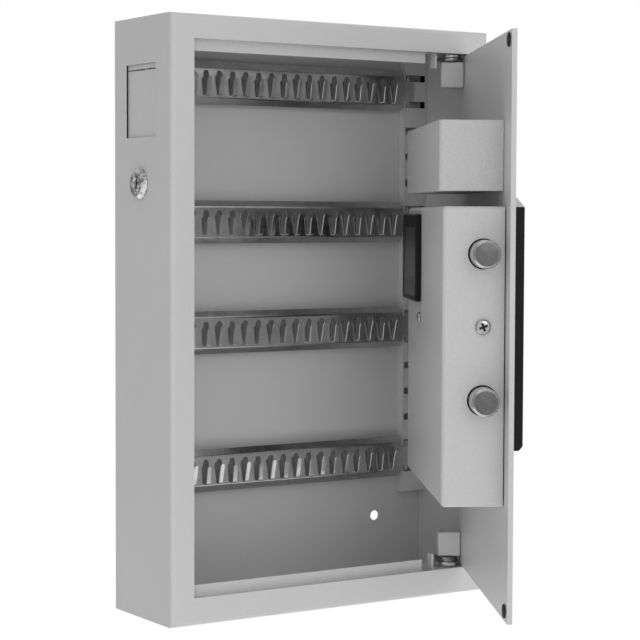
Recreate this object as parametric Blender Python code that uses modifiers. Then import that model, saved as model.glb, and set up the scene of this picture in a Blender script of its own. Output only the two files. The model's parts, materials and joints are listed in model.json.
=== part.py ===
"""A wall-mounted steel key cabinet with an electronic lock, modelled at rest with its door open.

Metres, +Z up. Seen from the front, +X is right and +Y goes into the wall. The origin is the
centre of the back face. Every piece is placed from the cabinet's front lower left corner, and
CORNER moves that corner to where it belongs. The door's pieces are modelled with the door shut
and hang from an empty on the hinge axis, which swings them open.
"""

import math

import bmesh
import bpy
from mathutils import Matrix, Vector

# Cabinet
WIDTH = 0.320
HEIGHT = 0.500
DEPTH = 0.100
SHEET = 0.0015
GAP = 0.0003
CORNER = Vector((-WIDTH / 2, -DEPTH, -HEIGHT / 2))
INNER_BACK = DEPTH - SHEET

# Door opening in the front
OPENING_LEFT = 0.021
OPENING_RIGHT = 0.3005
OPENING_BOTTOM = 0.023
OPENING_TOP = 0.480

# Door and its hinge axis
DOOR_ANGLE = math.radians(60.84)
PIVOT_X = 0.2895
PIVOT_Y = 0.0165
DOOR_THICK = 0.004
DOOR_LEFT = 0.0225
DOOR_RIGHT = 0.296
DOOR_BOTTOM = 0.0245
DOOR_TOP = 0.4785
BEHIND_DOOR = DOOR_THICK + GAP

# Door stop strips along the top and the bottom of the opening
STOP_FACE = 0.0066
STOP_HEIGHT = 0.0096
STOP_END = 0.256

# Hinges
PIN_RADIUS = 0.004
BLOCK_BORE = 0.0043
WASHER_RADIUS = 0.011
BLOCK_LOW_Z = (0.032, 0.054)
BLOCK_HIGH_Z = (0.4505, 0.4735)
BLOCK_BACK = 0.0250
PLATE_THICK = 0.003
TAB_DROP = 0.0135

# Slotted uprights and key bars
UPRIGHT_FACE = 0.090
UPRIGHT_WIDTH = 0.0255
UPRIGHT_BOTTOM = 0.0805
UPRIGHT_TOP = 0.492
SLOT_PITCH = 0.0241
SLOT_LOW = 0.1022
SLOT_COUNT = 16
SLOT_LENGTH = 0.0215
SLOT_HEIGHT = 0.006
SLOT_INSET = 0.0016
BAR_FACE = 0.085
BAR_SHEET = 0.0012
BAR_HALF = 0.0130
BAR_SLOPE = 0.0056
BAR_LEFT = 0.032
BAR_RIGHT = 0.288
BAR_STEPS = (0, 5, 9, 14)
TAB_LENGTH = 0.0145
TAB_HALF = 0.0085
PRONG_START = 0.0066
PRONG_WIDTH = 0.0028
HOOK_COUNT = 19
HOOK_PITCH = 0.01324
HOOK_WIDTH = 0.0042
HOOK_ROOT = 0.0112
HOOK_SHEET = 0.0010
HOOK_LONG = (0.0018, 0.0066, 0.0178)
HOOK_SHORT = (0.0034, 0.0062, 0.0158)
HOLE_WIDTH = 0.0046
HOLE_HEIGHT = 0.0214

# Key drop flap in the left wall
FLAP_FRONT = 0.027
FLAP_BACK = 0.0785
FLAP_BOTTOM = 0.401
FLAP_TOP = 0.4614
FLAP_SLOT = 0.0052
FLAP_AXIS_X = 0.0065
FLAP_AXIS_Z = 0.4600
FLAP_AXIS = (FLAP_AXIS_X, (FLAP_FRONT + FLAP_BACK) / 2, FLAP_AXIS_Z)

# Cam lock below the flap
LOCK_Y = 0.054
LOCK_Z = 0.3625
LOCK_AXIS = (0, LOCK_Y, LOCK_Z)
CAM_REACH = 0.041

# Boxes on the inside of the door
CASE_LEFT = 0.0425
CASE_RIGHT = 0.2815
CASE_BACK = 0.053
CASE_BOTTOM = 0.112
CASE_TOP = 0.3445
COVER_LEFT = 0.182
COVER_BACK = 0.058
COVER_BOTTOM = 0.265
COVER_TOP = 0.3385
COVER_SCREW_X = 0.189
COVER_SCREW_Z = 0.252
TRAY_LEFT = 0.056
TRAY_BACK = 0.0546
TRAY_BOTTOM = 0.3565
TRAY_TOP = 0.4113

# Bolt work
BOLT_Y = 0.0215
BOLT_LOW_Z = 0.195
BOLT_HIGH_Z = 0.308
POST_X = 0.0895
POST_Z = (0.210, 0.293)
BOLT_RADIUS = 0.0110
BOLT_HOLE = 0.0120
BOLT_TIP = 0.0225
BOLT_LENGTH = 0.047
PINION_TEETH = 12
MODULE = 0.001
PINION_X = 0.1315
PINION_Z = 0.2520
GEAR_FRONT = 0.0165
GEAR_BACK = 0.0215
PRESSURE = math.radians(20)
BACKLASH = 0.00016

# Keypad on the outside of the door
PAD_LEFT = 0.0315
PAD_RIGHT = 0.1395
PAD_BOTTOM = 0.157
PAD_TOP = 0.3516
PAD_PROUD = 0.0085
PAD_SLOPE = 0.0075
KEY_NAMES = ("1", "2", "3", "4", "5", "6", "7", "8", "9", "clear", "0", "enter")
KEY_WIDTH = 0.0190
KEY_HEIGHT = 0.0130
KEY_PITCH_X = 0.0240
KEY_PITCH_Z = 0.0190
KEY_TOP_Z = 0.3110
KEY_PROUD = 0.0018

SEGMENTS = 32


def new_collection(name):
    collection = bpy.data.collections.new(name)
    bpy.context.scene.collection.children.link(collection)
    return collection


for old in list(bpy.data.objects):
    bpy.data.objects.remove(old, do_unlink=True)
PARTS = new_collection("key_cabinet")
CUTTERS = new_collection("cutters")


def material(name, colour, roughness, metallic=0.0):
    made = bpy.data.materials.new(name)
    made.use_nodes = True
    shader = made.node_tree.nodes["Principled BSDF"]
    shader.inputs["Base Color"].default_value = (*colour, 1.0)
    shader.inputs["Roughness"].default_value = roughness
    shader.inputs["Metallic"].default_value = metallic
    return made


PAINT = material("grey_powder_coat", (0.50, 0.50, 0.50), 0.45)
GALVANISED = material("galvanised_steel", (0.36, 0.36, 0.36), 0.35, 1.0)
STEEL = material("bright_steel", (0.55, 0.55, 0.55), 0.25, 1.0)
CHROME = material("chrome_plate", (0.75, 0.75, 0.75), 0.10, 1.0)
BRASS = material("brass", (0.60, 0.45, 0.18), 0.30, 1.0)
BLACK = material("black_plastic", (0.02, 0.02, 0.02), 0.45)
KEYCAP = material("key_plastic", (0.10, 0.10, 0.10), 0.50)
RUBBER = material("black_rubber", (0.015, 0.015, 0.015), 0.80)
BOARD = material("circuit_board", (0.02, 0.10, 0.04), 0.50)

DOOR_AXIS = bpy.data.objects.new("door_axis", None)
DOOR_AXIS.location = CORNER + Vector((PIVOT_X, PIVOT_Y, 0))
DOOR_AXIS.rotation_euler = (0, 0, DOOR_ANGLE)
PARTS.objects.link(DOOR_AXIS)


def swing(obj):
    """Hangs a piece of the shut door from the hinge axis, so that it opens with it."""
    obj.parent = DOOR_AXIS
    obj.matrix_parent_inverse = Matrix.Translation(-DOOR_AXIS.location)


def make(name, shape, finish=None, door=False, origin=(0, 0, 0)):
    """An object from a bmesh, both the mesh and the origin it gets being measured from CORNER."""
    bmesh.ops.translate(shape, vec=-Vector(origin), verts=shape.verts)
    mesh = bpy.data.meshes.new(name)
    shape.normal_update()
    shape.to_mesh(mesh)
    shape.free()
    obj = bpy.data.objects.new(name, mesh)
    obj.location = CORNER + Vector(origin)
    if finish:
        mesh.materials.append(finish)
    (PARTS if finish else CUTTERS).objects.link(obj)
    if not finish:
        obj.hide_render = True
        obj.display_type = "WIRE"
    if door:
        swing(obj)
    return obj


def box(low, high, shape=None):
    """Adds a cuboid between two corners."""
    shape = shape or bmesh.new()
    low, high = Vector(low), Vector(high)
    size = Matrix.Diagonal((*(high - low), 1))
    bmesh.ops.create_cube(shape, size=1, matrix=Matrix.Translation((low + high) / 2) @ size)
    return shape


def axis_turn(axis):
    """The turn that takes +Z to the named axis."""
    return {
        "X": Matrix.Rotation(math.pi / 2, 4, "Y"),
        "Y": Matrix.Rotation(-math.pi / 2, 4, "X"),
        "Z": Matrix.Identity(4),
    }[axis]


def cone(start, axis, length, radius, end_radius=None, shape=None, segments=SEGMENTS):
    """Adds a cylinder or cone that runs from start along the axis."""
    shape = shape or bmesh.new()
    end_radius = radius if end_radius is None else end_radius
    turn = axis_turn(axis)
    middle = Vector(start) + turn.to_3x3() @ Vector((0, 0, length / 2))
    bmesh.ops.create_cone(
        shape,
        cap_ends=True,
        segments=segments,
        radius1=radius,
        radius2=end_radius,
        depth=length,
        matrix=Matrix.Translation(middle) @ turn,
    )
    return shape


def extrusion(outline, along, low, high, shape=None):
    """Adds a flat outline, listed as pairs, run from low to high along the third axis."""
    shape = shape or bmesh.new()
    order = {"X": (2, 0, 1), "Y": (0, 2, 1), "Z": (0, 1, 2)}[along]

    def point(pair, depth):
        values = (*pair, depth)
        return Vector([values[index] for index in order])

    ring = [shape.verts.new(point(pair, low)) for pair in outline]
    face = shape.faces.new(ring)
    moved = bmesh.ops.extrude_face_region(shape, geom=[face])["geom"]
    shift = point((0, 0), high) - point((0, 0), low)
    bmesh.ops.translate(shape, vec=shift, verts=[v for v in moved if isinstance(v, bmesh.types.BMVert)])
    bmesh.ops.recalc_face_normals(shape, faces=shape.faces[:])
    return shape


def boolean(obj, other, operation):
    modifier = obj.modifiers.new(operation.lower(), "BOOLEAN")
    modifier.operation = operation
    modifier.solver = "EXACT"
    modifier.use_self = operation == "UNION"
    modifier.object = other


def cut(obj, shape, door=False):
    boolean(obj, make(obj.name + "_cutter", shape, door=door), "DIFFERENCE")


def join(obj, shape, door=False):
    boolean(obj, make(obj.name + "_joined", shape, door=door), "UNION")


def bevel(obj, width, segments=2, angle=40):
    modifier = obj.modifiers.new("rounded", "BEVEL")
    modifier.width = width
    modifier.segments = segments
    modifier.limit_method = "ANGLE"
    modifier.angle_limit = math.radians(angle)


def smooth(obj):
    obj.data.shade_smooth()
    obj.data.set_sharp_from_angle(angle=math.radians(35))


def cabinet_body():
    """The folded shell: four walls, the front flanges, the flap's cut-out and the lock's hole."""
    body = make("cabinet_body", box((0, 0, 0), (WIDTH, DEPTH, HEIGHT)), PAINT)
    inner = (SHEET, SHEET, SHEET), (WIDTH - SHEET, DEPTH + SHEET, HEIGHT - SHEET)
    cut(body, box(*inner))
    opening = (OPENING_LEFT, -SHEET, OPENING_BOTTOM), (OPENING_RIGHT, 2 * SHEET, OPENING_TOP)
    side = (-SHEET, FLAP_FRONT, FLAP_BOTTOM), (2 * SHEET, FLAP_BACK, FLAP_TOP)
    holes = box(*opening)
    box(*side, shape=holes)
    cone((-SHEET, LOCK_Y, LOCK_Z), "X", 3 * SHEET, 0.0098, shape=holes)
    cut(body, holes)


def back_panel():
    edge = SHEET + GAP
    panel = make("back_panel", box((edge, INNER_BACK, edge), (WIDTH - edge, DEPTH, HEIGHT - edge)), PAINT)
    holes = bmesh.new()
    for x in (0.0525, WIDTH - 0.0525):
        for z in (0.059, HEIGHT - 0.059):
            cone((x, INNER_BACK - SHEET, z), "Y", 3 * SHEET, 0.0045, shape=holes, segments=24)
    cut(panel, holes)


def door_stop(name, edge, up):
    """A Z-shaped strip behind the front flange. up is 1 above the opening and -1 below it."""
    thick = 0.0012
    front = SHEET + GAP
    outline = (
        (front, edge),
        (STOP_FACE, edge),
        (STOP_FACE, edge - up * STOP_HEIGHT),
        (STOP_FACE + thick, edge - up * STOP_HEIGHT),
        (STOP_FACE + thick, edge + up * thick),
        (front + thick, edge + up * thick),
        (front + thick, edge + up * 0.012),
        (front, edge + up * 0.012),
    )
    make(name, extrusion(outline, "X", OPENING_LEFT, STOP_END), PAINT)


def hinge_plate(name, edge, up):
    """A welded plate behind the front flange that holds a hinge pin, with a folded tab at its free end."""
    near, far = edge + up * GAP, edge + up * (GAP + PLATE_THICK)
    low, high = sorted((near, far))
    right = WIDTH - SHEET - GAP
    plate = make(name, box((0.266, SHEET + GAP, low), (right, 0.034, high)), PAINT)
    tab = sorted((edge - up * TAB_DROP, far))
    weld = sorted((near, edge + up * 0.0145))
    joined = box((0.266, 0.006, tab[0]), (0.268, 0.013, tab[1]))
    box((right - 0.0015, SHEET + GAP, weld[0]), (right, 0.034, weld[1]), shape=joined)
    join(plate, joined)
    cut(plate, cone((PIVOT_X, PIVOT_Y, low - 0.002), "Z", 0.007, PIN_RADIUS + GAP))


def hinge_pin(name, edge, up):
    """A headed pin through the hinge plate and into the door's hinge block."""
    head = edge + up * (2 * GAP + PLATE_THICK)
    tip = edge - up * 0.0235
    low, high = sorted((head, tip))
    pin = make(name, cone((PIVOT_X, PIVOT_Y, low), "Z", high - low, PIN_RADIUS), STEEL)
    cap_low = min(head - up * 0.00005, head + up * 0.0025)
    join(pin, cone((PIVOT_X, PIVOT_Y, cap_low), "Z", 0.00255, 0.007))
    smooth(pin)


def hinge_washer(name, block, edge):
    """A plain spacer on the pin, which fills the height between the door's block and the hinge plate."""
    low, height = min(block, edge), abs(edge - block)
    washer = make(name, cone((PIVOT_X, PIVOT_Y, low), "Z", height, WASHER_RADIUS), STEEL)
    cut(washer, cone((PIVOT_X, PIVOT_Y, low - 0.001), "Z", height + 0.002, PIN_RADIUS + GAP))
    smooth(washer)


def upright(name, outer_x, side):
    """A slotted channel in a back corner. side is 1 for the left wall and -1 for the right."""
    inner_x = outer_x + side * UPRIGHT_WIDTH
    low, high = sorted((outer_x, inner_x))
    back = INNER_BACK - GAP
    channel = make(name, box((low, UPRIGHT_FACE, UPRIGHT_BOTTOM), (high, back, UPRIGHT_TOP)), PAINT)
    hollow = box(
        (low + SHEET, UPRIGHT_FACE + SHEET, UPRIGHT_BOTTOM - SHEET),
        (high - SHEET, DEPTH, UPRIGHT_TOP + SHEET),
    )
    cut(channel, hollow)
    slot_start = inner_x - side * SLOT_INSET
    ends = sorted((slot_start, slot_start - side * SLOT_LENGTH))
    slots = bmesh.new()
    for index in range(SLOT_COUNT):
        middle = SLOT_LOW + index * SLOT_PITCH
        box(
            (ends[0], UPRIGHT_FACE - SHEET, middle - SLOT_HEIGHT / 2),
            (ends[1], UPRIGHT_FACE + 1.5 * SHEET, middle + SLOT_HEIGHT / 2),
            shape=slots,
        )
    cut(channel, slots)


def bar_outline(middle):
    """The key bar's section: a flat face with a flange sloping back above and below it."""
    inner = BAR_FACE + BAR_SHEET
    flange_y = BAR_FACE + 0.0045
    rise = BAR_SHEET * 0.45
    outline = []
    for side in (1, -1):
        points = [
            (inner, middle + side * (BAR_HALF - rise)),
            (flange_y, middle + side * (BAR_HALF + BAR_SLOPE - 2 * rise)),
            (flange_y, middle + side * (BAR_HALF + BAR_SLOPE)),
            (BAR_FACE, middle + side * BAR_HALF),
        ]
        outline += points if side == 1 else points[::-1]
    return outline


def bar_ends(shape, middle):
    """A stepped tab at each end, with two prongs that hook into the uprights' slots."""
    back = UPRIGHT_FACE - GAP
    front = back - BAR_SHEET
    arm = SLOT_PITCH / 2 + 0.0018
    for side, end in ((1, BAR_RIGHT), (-1, BAR_LEFT)):
        near = end - side * BAR_SHEET
        tab = sorted((near, end + side * TAB_LENGTH))
        web = sorted((near, end))
        prong = sorted((end + side * PRONG_START, end + side * (PRONG_START + PRONG_WIDTH)))
        plates = ((tab, front, TAB_HALF), (web, BAR_FACE + 0.0002, TAB_HALF), (prong, front, arm))
        for (left, right), face, half in plates:
            box((left, face, middle - half), (right, back, middle + half), shape=shape)
        for slot in (middle - SLOT_PITCH / 2, middle + SLOT_PITCH / 2):
            low = (prong[0], back - 0.0004, slot - 0.0018)
            high = (prong[1], UPRIGHT_FACE + 0.003, slot + 0.0018)
            box(low, high, shape=shape)


def hook_places():
    first = WIDTH / 2 - (HOOK_COUNT - 1) / 2 * HOOK_PITCH
    return [first + index * HOOK_PITCH for index in range(HOOK_COUNT)]


def key_bar(name, middle):
    """A folded bar whose hooks are tongues pressed out of it, leaving a hole behind each."""
    bar = make(name, extrusion(bar_outline(middle), "X", BAR_LEFT, BAR_RIGHT), GALVANISED)
    ends = bmesh.new()
    bar_ends(ends, middle)
    join(bar, ends)
    holes = bmesh.new()
    tongues = bmesh.new()
    root = middle - HOOK_ROOT
    half = HOLE_WIDTH / 2
    for index, x in enumerate(hook_places()):
        box((x - half, BAR_FACE - 0.001, root), (x + half, BAR_FACE + 0.003, root + HOLE_HEIGHT), shape=holes)
        outline = tongue_outline(root, *(HOOK_SHORT if index % 2 else HOOK_LONG))
        extrusion(outline, "X", x - HOOK_WIDTH / 2, x + HOOK_WIDTH / 2, shape=tongues)
    cut(bar, holes)
    join(bar, tongues)


def tongue_outline(root, foot, reach, height):
    """A hook's section: out from the face by foot at its root, then up, leaning out to reach at its tip."""
    return (
        (BAR_FACE + 0.0003, root - 0.0012),
        (BAR_FACE - foot - HOOK_SHEET / 2, root + 0.0002),
        (BAR_FACE - reach, root + height),
        (BAR_FACE - reach + HOOK_SHEET, root + height),
        (BAR_FACE - foot + HOOK_SHEET / 2, root + 0.0016),
        (BAR_FACE + 0.0011, root + 0.0004),
    )


def drop_flap():
    """The recessed flap behind the left wall's cut-out, with an ear at each end for its pin."""
    front, back = FLAP_FRONT - 0.004, FLAP_BACK + 0.004
    outer, inner = SHEET + GAP, SHEET + GAP + 0.0015
    top = FLAP_TOP - FLAP_SLOT
    sheet = box((outer, front, FLAP_BOTTOM - 0.004), (inner, back, top))
    flap = make("drop_flap", sheet, PAINT, origin=FLAP_AXIS)
    ears = bmesh.new()
    for low in (front, back - 0.0015):
        corner = (FLAP_AXIS_X + 0.0025, low + 0.0015, FLAP_AXIS_Z + 0.0030)
        box((inner - 0.0002, low, top - 0.007), corner, shape=ears)
    join(flap, ears)
    cut(flap, cone((FLAP_AXIS_X, front - 0.001, FLAP_AXIS_Z), "Y", back - front + 0.002, 0.0018, segments=20))


def flap_bracket():
    """A folded bracket that carries the flap's pin, with a strip that fills the slot above the flap."""
    front, back = FLAP_FRONT - 0.0060, FLAP_BACK + 0.0060
    side = SHEET + GAP
    low, high = FLAP_AXIS_Z - 0.004, FLAP_AXIS_Z + 0.009
    bracket = make("flap_bracket", box((side, front, low), (0.0150, back, high)), PAINT)
    cut(bracket, box((side - 0.001, front + SHEET, low - 0.001), (0.0135, back - SHEET, high - SHEET)))
    flanges = box((side, front, high - SHEET), (side + SHEET, back, high + 0.008))
    strip_low = FLAP_TOP - FLAP_SLOT + 0.0012
    box((side, FLAP_FRONT - 0.0018, strip_low), (side + 0.001, FLAP_BACK + 0.0018, high), shape=flanges)
    join(bracket, flanges)
    bore = cone((FLAP_AXIS_X, front - 0.001, FLAP_AXIS_Z), "Y", back - front + 0.002, 0.0018, segments=20)
    cut(bracket, bore)


def flap_pin():
    front, back = FLAP_FRONT - 0.0065, FLAP_BACK + 0.0065
    shank = cone((FLAP_AXIS_X, front, FLAP_AXIS_Z), "Y", back - front, 0.0015, segments=20)
    pin = make("flap_pin", shank, STEEL)
    smooth(pin)


def flap_spring():
    """A torsion spring round the pin: a close coil with one leg on the bracket and one on the flap."""
    turns, per_turn, radius, wire = 6, 12, 0.0028, 0.00045
    start = (FLAP_FRONT + FLAP_BACK) / 2 - turns * 0.0006
    points = []
    for step in range(turns * per_turn + 1):
        angle = math.pi + step * 2 * math.pi / per_turn
        points.append((
            FLAP_AXIS_X + radius * math.cos(angle),
            start + step * 0.0012 / per_turn,
            FLAP_AXIS_Z + radius * math.sin(angle),
        ))
    points.insert(0, (FLAP_AXIS_X - radius + 0.0002, start - 0.0002, FLAP_AXIS_Z - 0.012))
    points.append((FLAP_AXIS_X + radius + 0.0010, points[-1][1] + 0.0002, FLAP_AXIS_Z + 0.0050))
    curve = bpy.data.curves.new("flap_spring", "CURVE")
    curve.dimensions = "3D"
    curve.bevel_depth = wire
    curve.bevel_resolution = 1
    curve.use_fill_caps = True
    spline = curve.splines.new("POLY")
    spline.points.add(len(points) - 1)
    for target, point in zip(spline.points, points):
        target.co = (*point, 1)
    curve.materials.append(STEEL)
    spring = bpy.data.objects.new("flap_spring", curve)
    spring.location = CORNER
    PARTS.objects.link(spring)


def cam_lock():
    """The lock's housing, nut, keyed plug, cranked cam and cam screw, below the flap."""
    housing = make("lock_housing", cone((-0.005, LOCK_Y, LOCK_Z), "X", 0.005, 0.0100, 0.0130), CHROME)
    join(housing, cone((-0.001, LOCK_Y, LOCK_Z), "X", 0.0185, 0.0093))
    cut(housing, cone((-0.006, LOCK_Y, LOCK_Z), "X", 0.026, 0.0062))
    smooth(housing)

    nut = make("lock_nut", cone((SHEET + GAP, LOCK_Y, LOCK_Z), "X", 0.004, 0.0138, segments=6), STEEL)
    cut(nut, cone((SHEET, LOCK_Y, LOCK_Z), "X", 0.006, 0.0097))

    plug = make("lock_plug", cone((-0.0046, LOCK_Y, LOCK_Z), "X", 0.0246, 0.0059), CHROME, origin=LOCK_AXIS)
    cut(plug, box((-0.006, LOCK_Y - 0.0009, LOCK_Z - 0.0042), (0.004, LOCK_Y + 0.0009, LOCK_Z + 0.0042)))
    cut(plug, cone((0.012, LOCK_Y, LOCK_Z), "X", 0.012, 0.0020, segments=16))
    smooth(plug)

    outer, inner = 0.0203, 0.0223
    outline = (
        (outer, LOCK_Y + 0.009),
        (inner, LOCK_Y + 0.009),
        (inner, LOCK_Y - 0.026),
        (0.0070, LOCK_Y - 0.026),
        (0.0070, LOCK_Y - CAM_REACH),
        (0.0050, LOCK_Y - CAM_REACH),
        (0.0050, LOCK_Y - 0.024),
        (outer, LOCK_Y - 0.024),
    )
    cam = make("lock_cam", extrusion(outline, "Z", LOCK_Z - 0.0065, LOCK_Z + 0.0065), STEEL, origin=LOCK_AXIS)
    cut(cam, cone((0.018, LOCK_Y, LOCK_Z), "X", 0.006, 0.0024, segments=16))

    shank = cone((0.0140, LOCK_Y, LOCK_Z), "X", 0.0090, 0.0017, segments=16)
    screw = make("cam_screw", shank, STEEL, origin=LOCK_AXIS)
    join(screw, cone((0.0226, LOCK_Y, LOCK_Z), "X", 0.0022, 0.0050, 0.0042, segments=24))


def door_panel():
    panel = make(
        "door_panel",
        box((DOOR_LEFT, 0, DOOR_BOTTOM), (DOOR_RIGHT, DOOR_THICK, DOOR_TOP)),
        PAINT,
        door=True,
    )
    holes = cone((0.085, -0.001, 0.200), "Y", 0.006, 0.006)
    for x in (PAD_LEFT + 0.012, PAD_RIGHT - 0.012):
        cone((x, -0.001, PAD_BOTTOM + 0.03), "Y", 0.006, 0.0022, shape=holes, segments=16)
    cut(panel, holes, door=True)


def hinge_block(name, low, high):
    """A block on the door that turns on a hinge pin."""
    block = make(name, box((0.2815, BEHIND_DOOR, low), (0.2975, BLOCK_BACK, high)), PAINT, door=True)
    bevel(block, 0.0018, 3)
    cut(block, cone((PIVOT_X, PIVOT_Y, low - 0.001), "Z", high - low + 0.002, BLOCK_BORE), door=True)


def door_bumper(name, z):
    pad = cone((0.0335, BEHIND_DOOR, z), "Y", 0.0018, 0.0056, 0.0052, segments=24)
    smooth(make(name, pad, RUBBER, door=True))


def lock_case():
    """The folded case over the lock, open towards the door, with the bolts' and the batteries' openings."""
    case = make(
        "lock_case",
        box((CASE_LEFT, BEHIND_DOOR, CASE_BOTTOM), (CASE_RIGHT, CASE_BACK, CASE_TOP)),
        PAINT,
        door=True,
    )
    bevel(case, 0.0015, 2)
    inside = box(
        (CASE_LEFT + SHEET, 0, CASE_BOTTOM + SHEET),
        (CASE_RIGHT - SHEET, CASE_BACK - SHEET, CASE_TOP - SHEET),
    )
    cut(case, inside, door=True)
    holes = box((0.2005, CASE_BACK - 2 * SHEET, 0.2715), (0.2765, CASE_BACK + SHEET, 0.3365))
    for z in (BOLT_LOW_Z, BOLT_HIGH_Z):
        cone((CASE_LEFT - SHEET, BOLT_Y, z), "X", 3 * SHEET, BOLT_HOLE, shape=holes)
    cone((CASE_LEFT - SHEET, BOLT_Y, 0.2518), "X", 3 * SHEET, 0.0028, shape=holes, segments=16)
    start = (COVER_SCREW_X, CASE_BACK - 2 * SHEET, COVER_SCREW_Z)
    cone(start, "Y", 3 * SHEET, 0.0024, shape=holes, segments=16)
    cut(case, holes, door=True)


def case_screw():
    """The pan-head screw in the case's side, between the bolts."""
    front = CASE_LEFT - GAP
    head = cone((front - 0.0032, BOLT_Y, 0.2518), "X", 0.0032, 0.0046, 0.0061)
    screw = make("case_screw", head, STEEL, door=True)
    join(screw, cone((front - 0.0005, BOLT_Y, 0.2518), "X", 0.0085, 0.0024, segments=16), door=True)
    cross = box((front - 0.0045, BOLT_Y - 0.0005, 0.2490), (front - 0.0018, BOLT_Y + 0.0005, 0.2546))
    cut(screw, cross, door=True)
    cross = box((front - 0.0045, BOLT_Y - 0.0028, 0.2513), (front - 0.0018, BOLT_Y + 0.0028, 0.2523))
    cut(screw, cross, door=True)


def cover_screw():
    """The small screw in the case's face, under the edge of the battery cover."""
    head = cone((COVER_SCREW_X, CASE_BACK + GAP, COVER_SCREW_Z), "Y", 0.0024, 0.0044, 0.0036, segments=24)
    screw = make("cover_screw", head, STEEL, door=True)
    shank = cone((COVER_SCREW_X, CASE_BACK - 0.006, COVER_SCREW_Z), "Y", 0.0066, 0.0020, segments=16)
    join(screw, shank, door=True)


def key_tray():
    """The folded tray above the lock case that catches dropped keys, open at its top."""
    tray = make(
        "key_tray",
        box((TRAY_LEFT, BEHIND_DOOR, TRAY_BOTTOM), (CASE_RIGHT, TRAY_BACK, TRAY_TOP)),
        PAINT,
        door=True,
    )
    inside = box(
        (TRAY_LEFT + SHEET, BEHIND_DOOR + SHEET, TRAY_BOTTOM + SHEET),
        (CASE_RIGHT - SHEET, TRAY_BACK - SHEET, TRAY_TOP + SHEET),
    )
    cut(tray, inside, door=True)


def bolt(name, z):
    """A round bolt with a chamfered tip, drawn back level with the door's edge."""
    tip = cone((BOLT_TIP, BOLT_Y, z), "X", 0.0018, BOLT_RADIUS - 0.0018, BOLT_RADIUS)
    made = make(name, tip, STEEL, door=True)
    join(made, cone((BOLT_TIP + 0.0017, BOLT_Y, z), "X", BOLT_LENGTH, BOLT_RADIUS), door=True)
    smooth(made)


def bolt_guide():
    """A bored block behind the case's side for each bolt, the two joined by a strip on the door."""
    left = CASE_LEFT + SHEET + GAP
    low, high = BOLT_LOW_Z - 0.014, BOLT_HIGH_Z + 0.014
    guide = make("bolt_guide", box((left, BEHIND_DOOR, low), (left + 0.009, 0.0355, high)), BLACK, door=True)
    cut(guide, box((left - 0.001, 0.0065, low + 0.028), (left + 0.010, 0.0400, high - 0.028)), door=True)
    bores = bmesh.new()
    for z in (BOLT_LOW_Z, BOLT_HIGH_Z):
        cone((left - 0.001, BOLT_Y, z), "X", 0.011, BOLT_RADIUS + 0.0004, shape=bores)
    cut(guide, bores, door=True)


def bolt_carriage():
    """The plate that joins both bolts: an upright bar, a slotted plate and a toothed rack."""
    bar_left = BOLT_TIP + 0.0017 + BOLT_LENGTH + GAP
    bar_right = bar_left + 0.006
    front, back = 0.0100, 0.0120
    bar = box((bar_left, front, BOLT_LOW_Z - 0.013), (bar_right, 0.0330, BOLT_HIGH_Z + 0.013))
    carriage = make("bolt_carriage", bar, GALVANISED, door=True)
    plate_low, plate_high = BOLT_LOW_Z - 0.002, BOLT_HIGH_Z + 0.002
    join(carriage, box((bar_left + 0.001, front, plate_low), (0.1095, back, plate_high)), door=True)
    rack_top = PINION_Z - MODULE * PINION_TEETH / 2 - 1.25 * MODULE
    rack_end = PINION_X + 6.2 * math.pi * MODULE
    rack = box((bar_left + 0.001, GEAR_FRONT, rack_top - 0.006), (rack_end, GEAR_BACK, rack_top))
    join(carriage, rack, door=True)
    join(carriage, rack_teeth(rack_top), door=True)
    slots = bmesh.new()
    for z in POST_Z:
        low, high = (POST_X - 0.0035, front - 0.001, z - 0.0033), (POST_X + 0.0155, back + 0.001, z + 0.0033)
        box(low, high, shape=slots)
    cut(carriage, slots, door=True)


def rack_teeth(root):
    """Straight-sided teeth along the top of the rack, with one space under the pinion's middle."""
    pitch = math.pi * MODULE
    line = PINION_Z - MODULE * PINION_TEETH / 2
    half = pitch / 4 - BACKLASH / 2
    slope = math.tan(PRESSURE)
    top = line + MODULE
    teeth = bmesh.new()
    for index in range(-2, 6):
        middle = PINION_X + (index + 0.5) * pitch
        foot = half + (line - root + 0.0004) * slope
        crest = half - (top - line) * slope
        outline = (
            (middle - foot, root - 0.0004),
            (middle + foot, root - 0.0004),
            (middle + crest, top),
            (middle - crest, top),
        )
        extrusion(outline, "Y", GEAR_FRONT, GEAR_BACK, shape=teeth)
    return teeth


def involute(base, radius):
    """How far the involute from a base circle has turned when it reaches the radius."""
    angle = math.acos(min(1.0, base / radius))
    return math.tan(angle) - angle


def drive_pinion():
    """A spur pinion with involute teeth, one of them pointing down into the rack."""
    pitch_radius = MODULE * PINION_TEETH / 2
    base = pitch_radius * math.cos(PRESSURE)
    tip_radius = pitch_radius + MODULE
    root_radius = pitch_radius - 1.25 * MODULE
    half = math.pi / 2 / PINION_TEETH - BACKLASH / 2 / pitch_radius
    outline = []
    for tooth in range(PINION_TEETH):
        middle = -math.pi / 2 + tooth * 2 * math.pi / PINION_TEETH
        flank = []
        for step in range(5):
            radius = base + (tip_radius - base) * step / 4
            turn = half + involute(base, pitch_radius) - involute(base, radius)
            flank.append((radius, turn))
        flank.insert(0, (root_radius, flank[0][1]))
        sides = [(r, middle - t) for r, t in flank] + [(r, middle + t) for r, t in reversed(flank)]
        outline += [(PINION_X + r * math.cos(a), PINION_Z + r * math.sin(a)) for r, a in sides]
    wheel = extrusion(outline, "Y", GEAR_FRONT, GEAR_BACK)
    pinion = make("drive_pinion", wheel, BRASS, door=True, origin=(PINION_X, GEAR_FRONT, PINION_Z))
    join(pinion, cone((PINION_X, GEAR_FRONT - 0.002, PINION_Z), "Y", 0.0115, 0.0020, segments=20), door=True)


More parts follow.
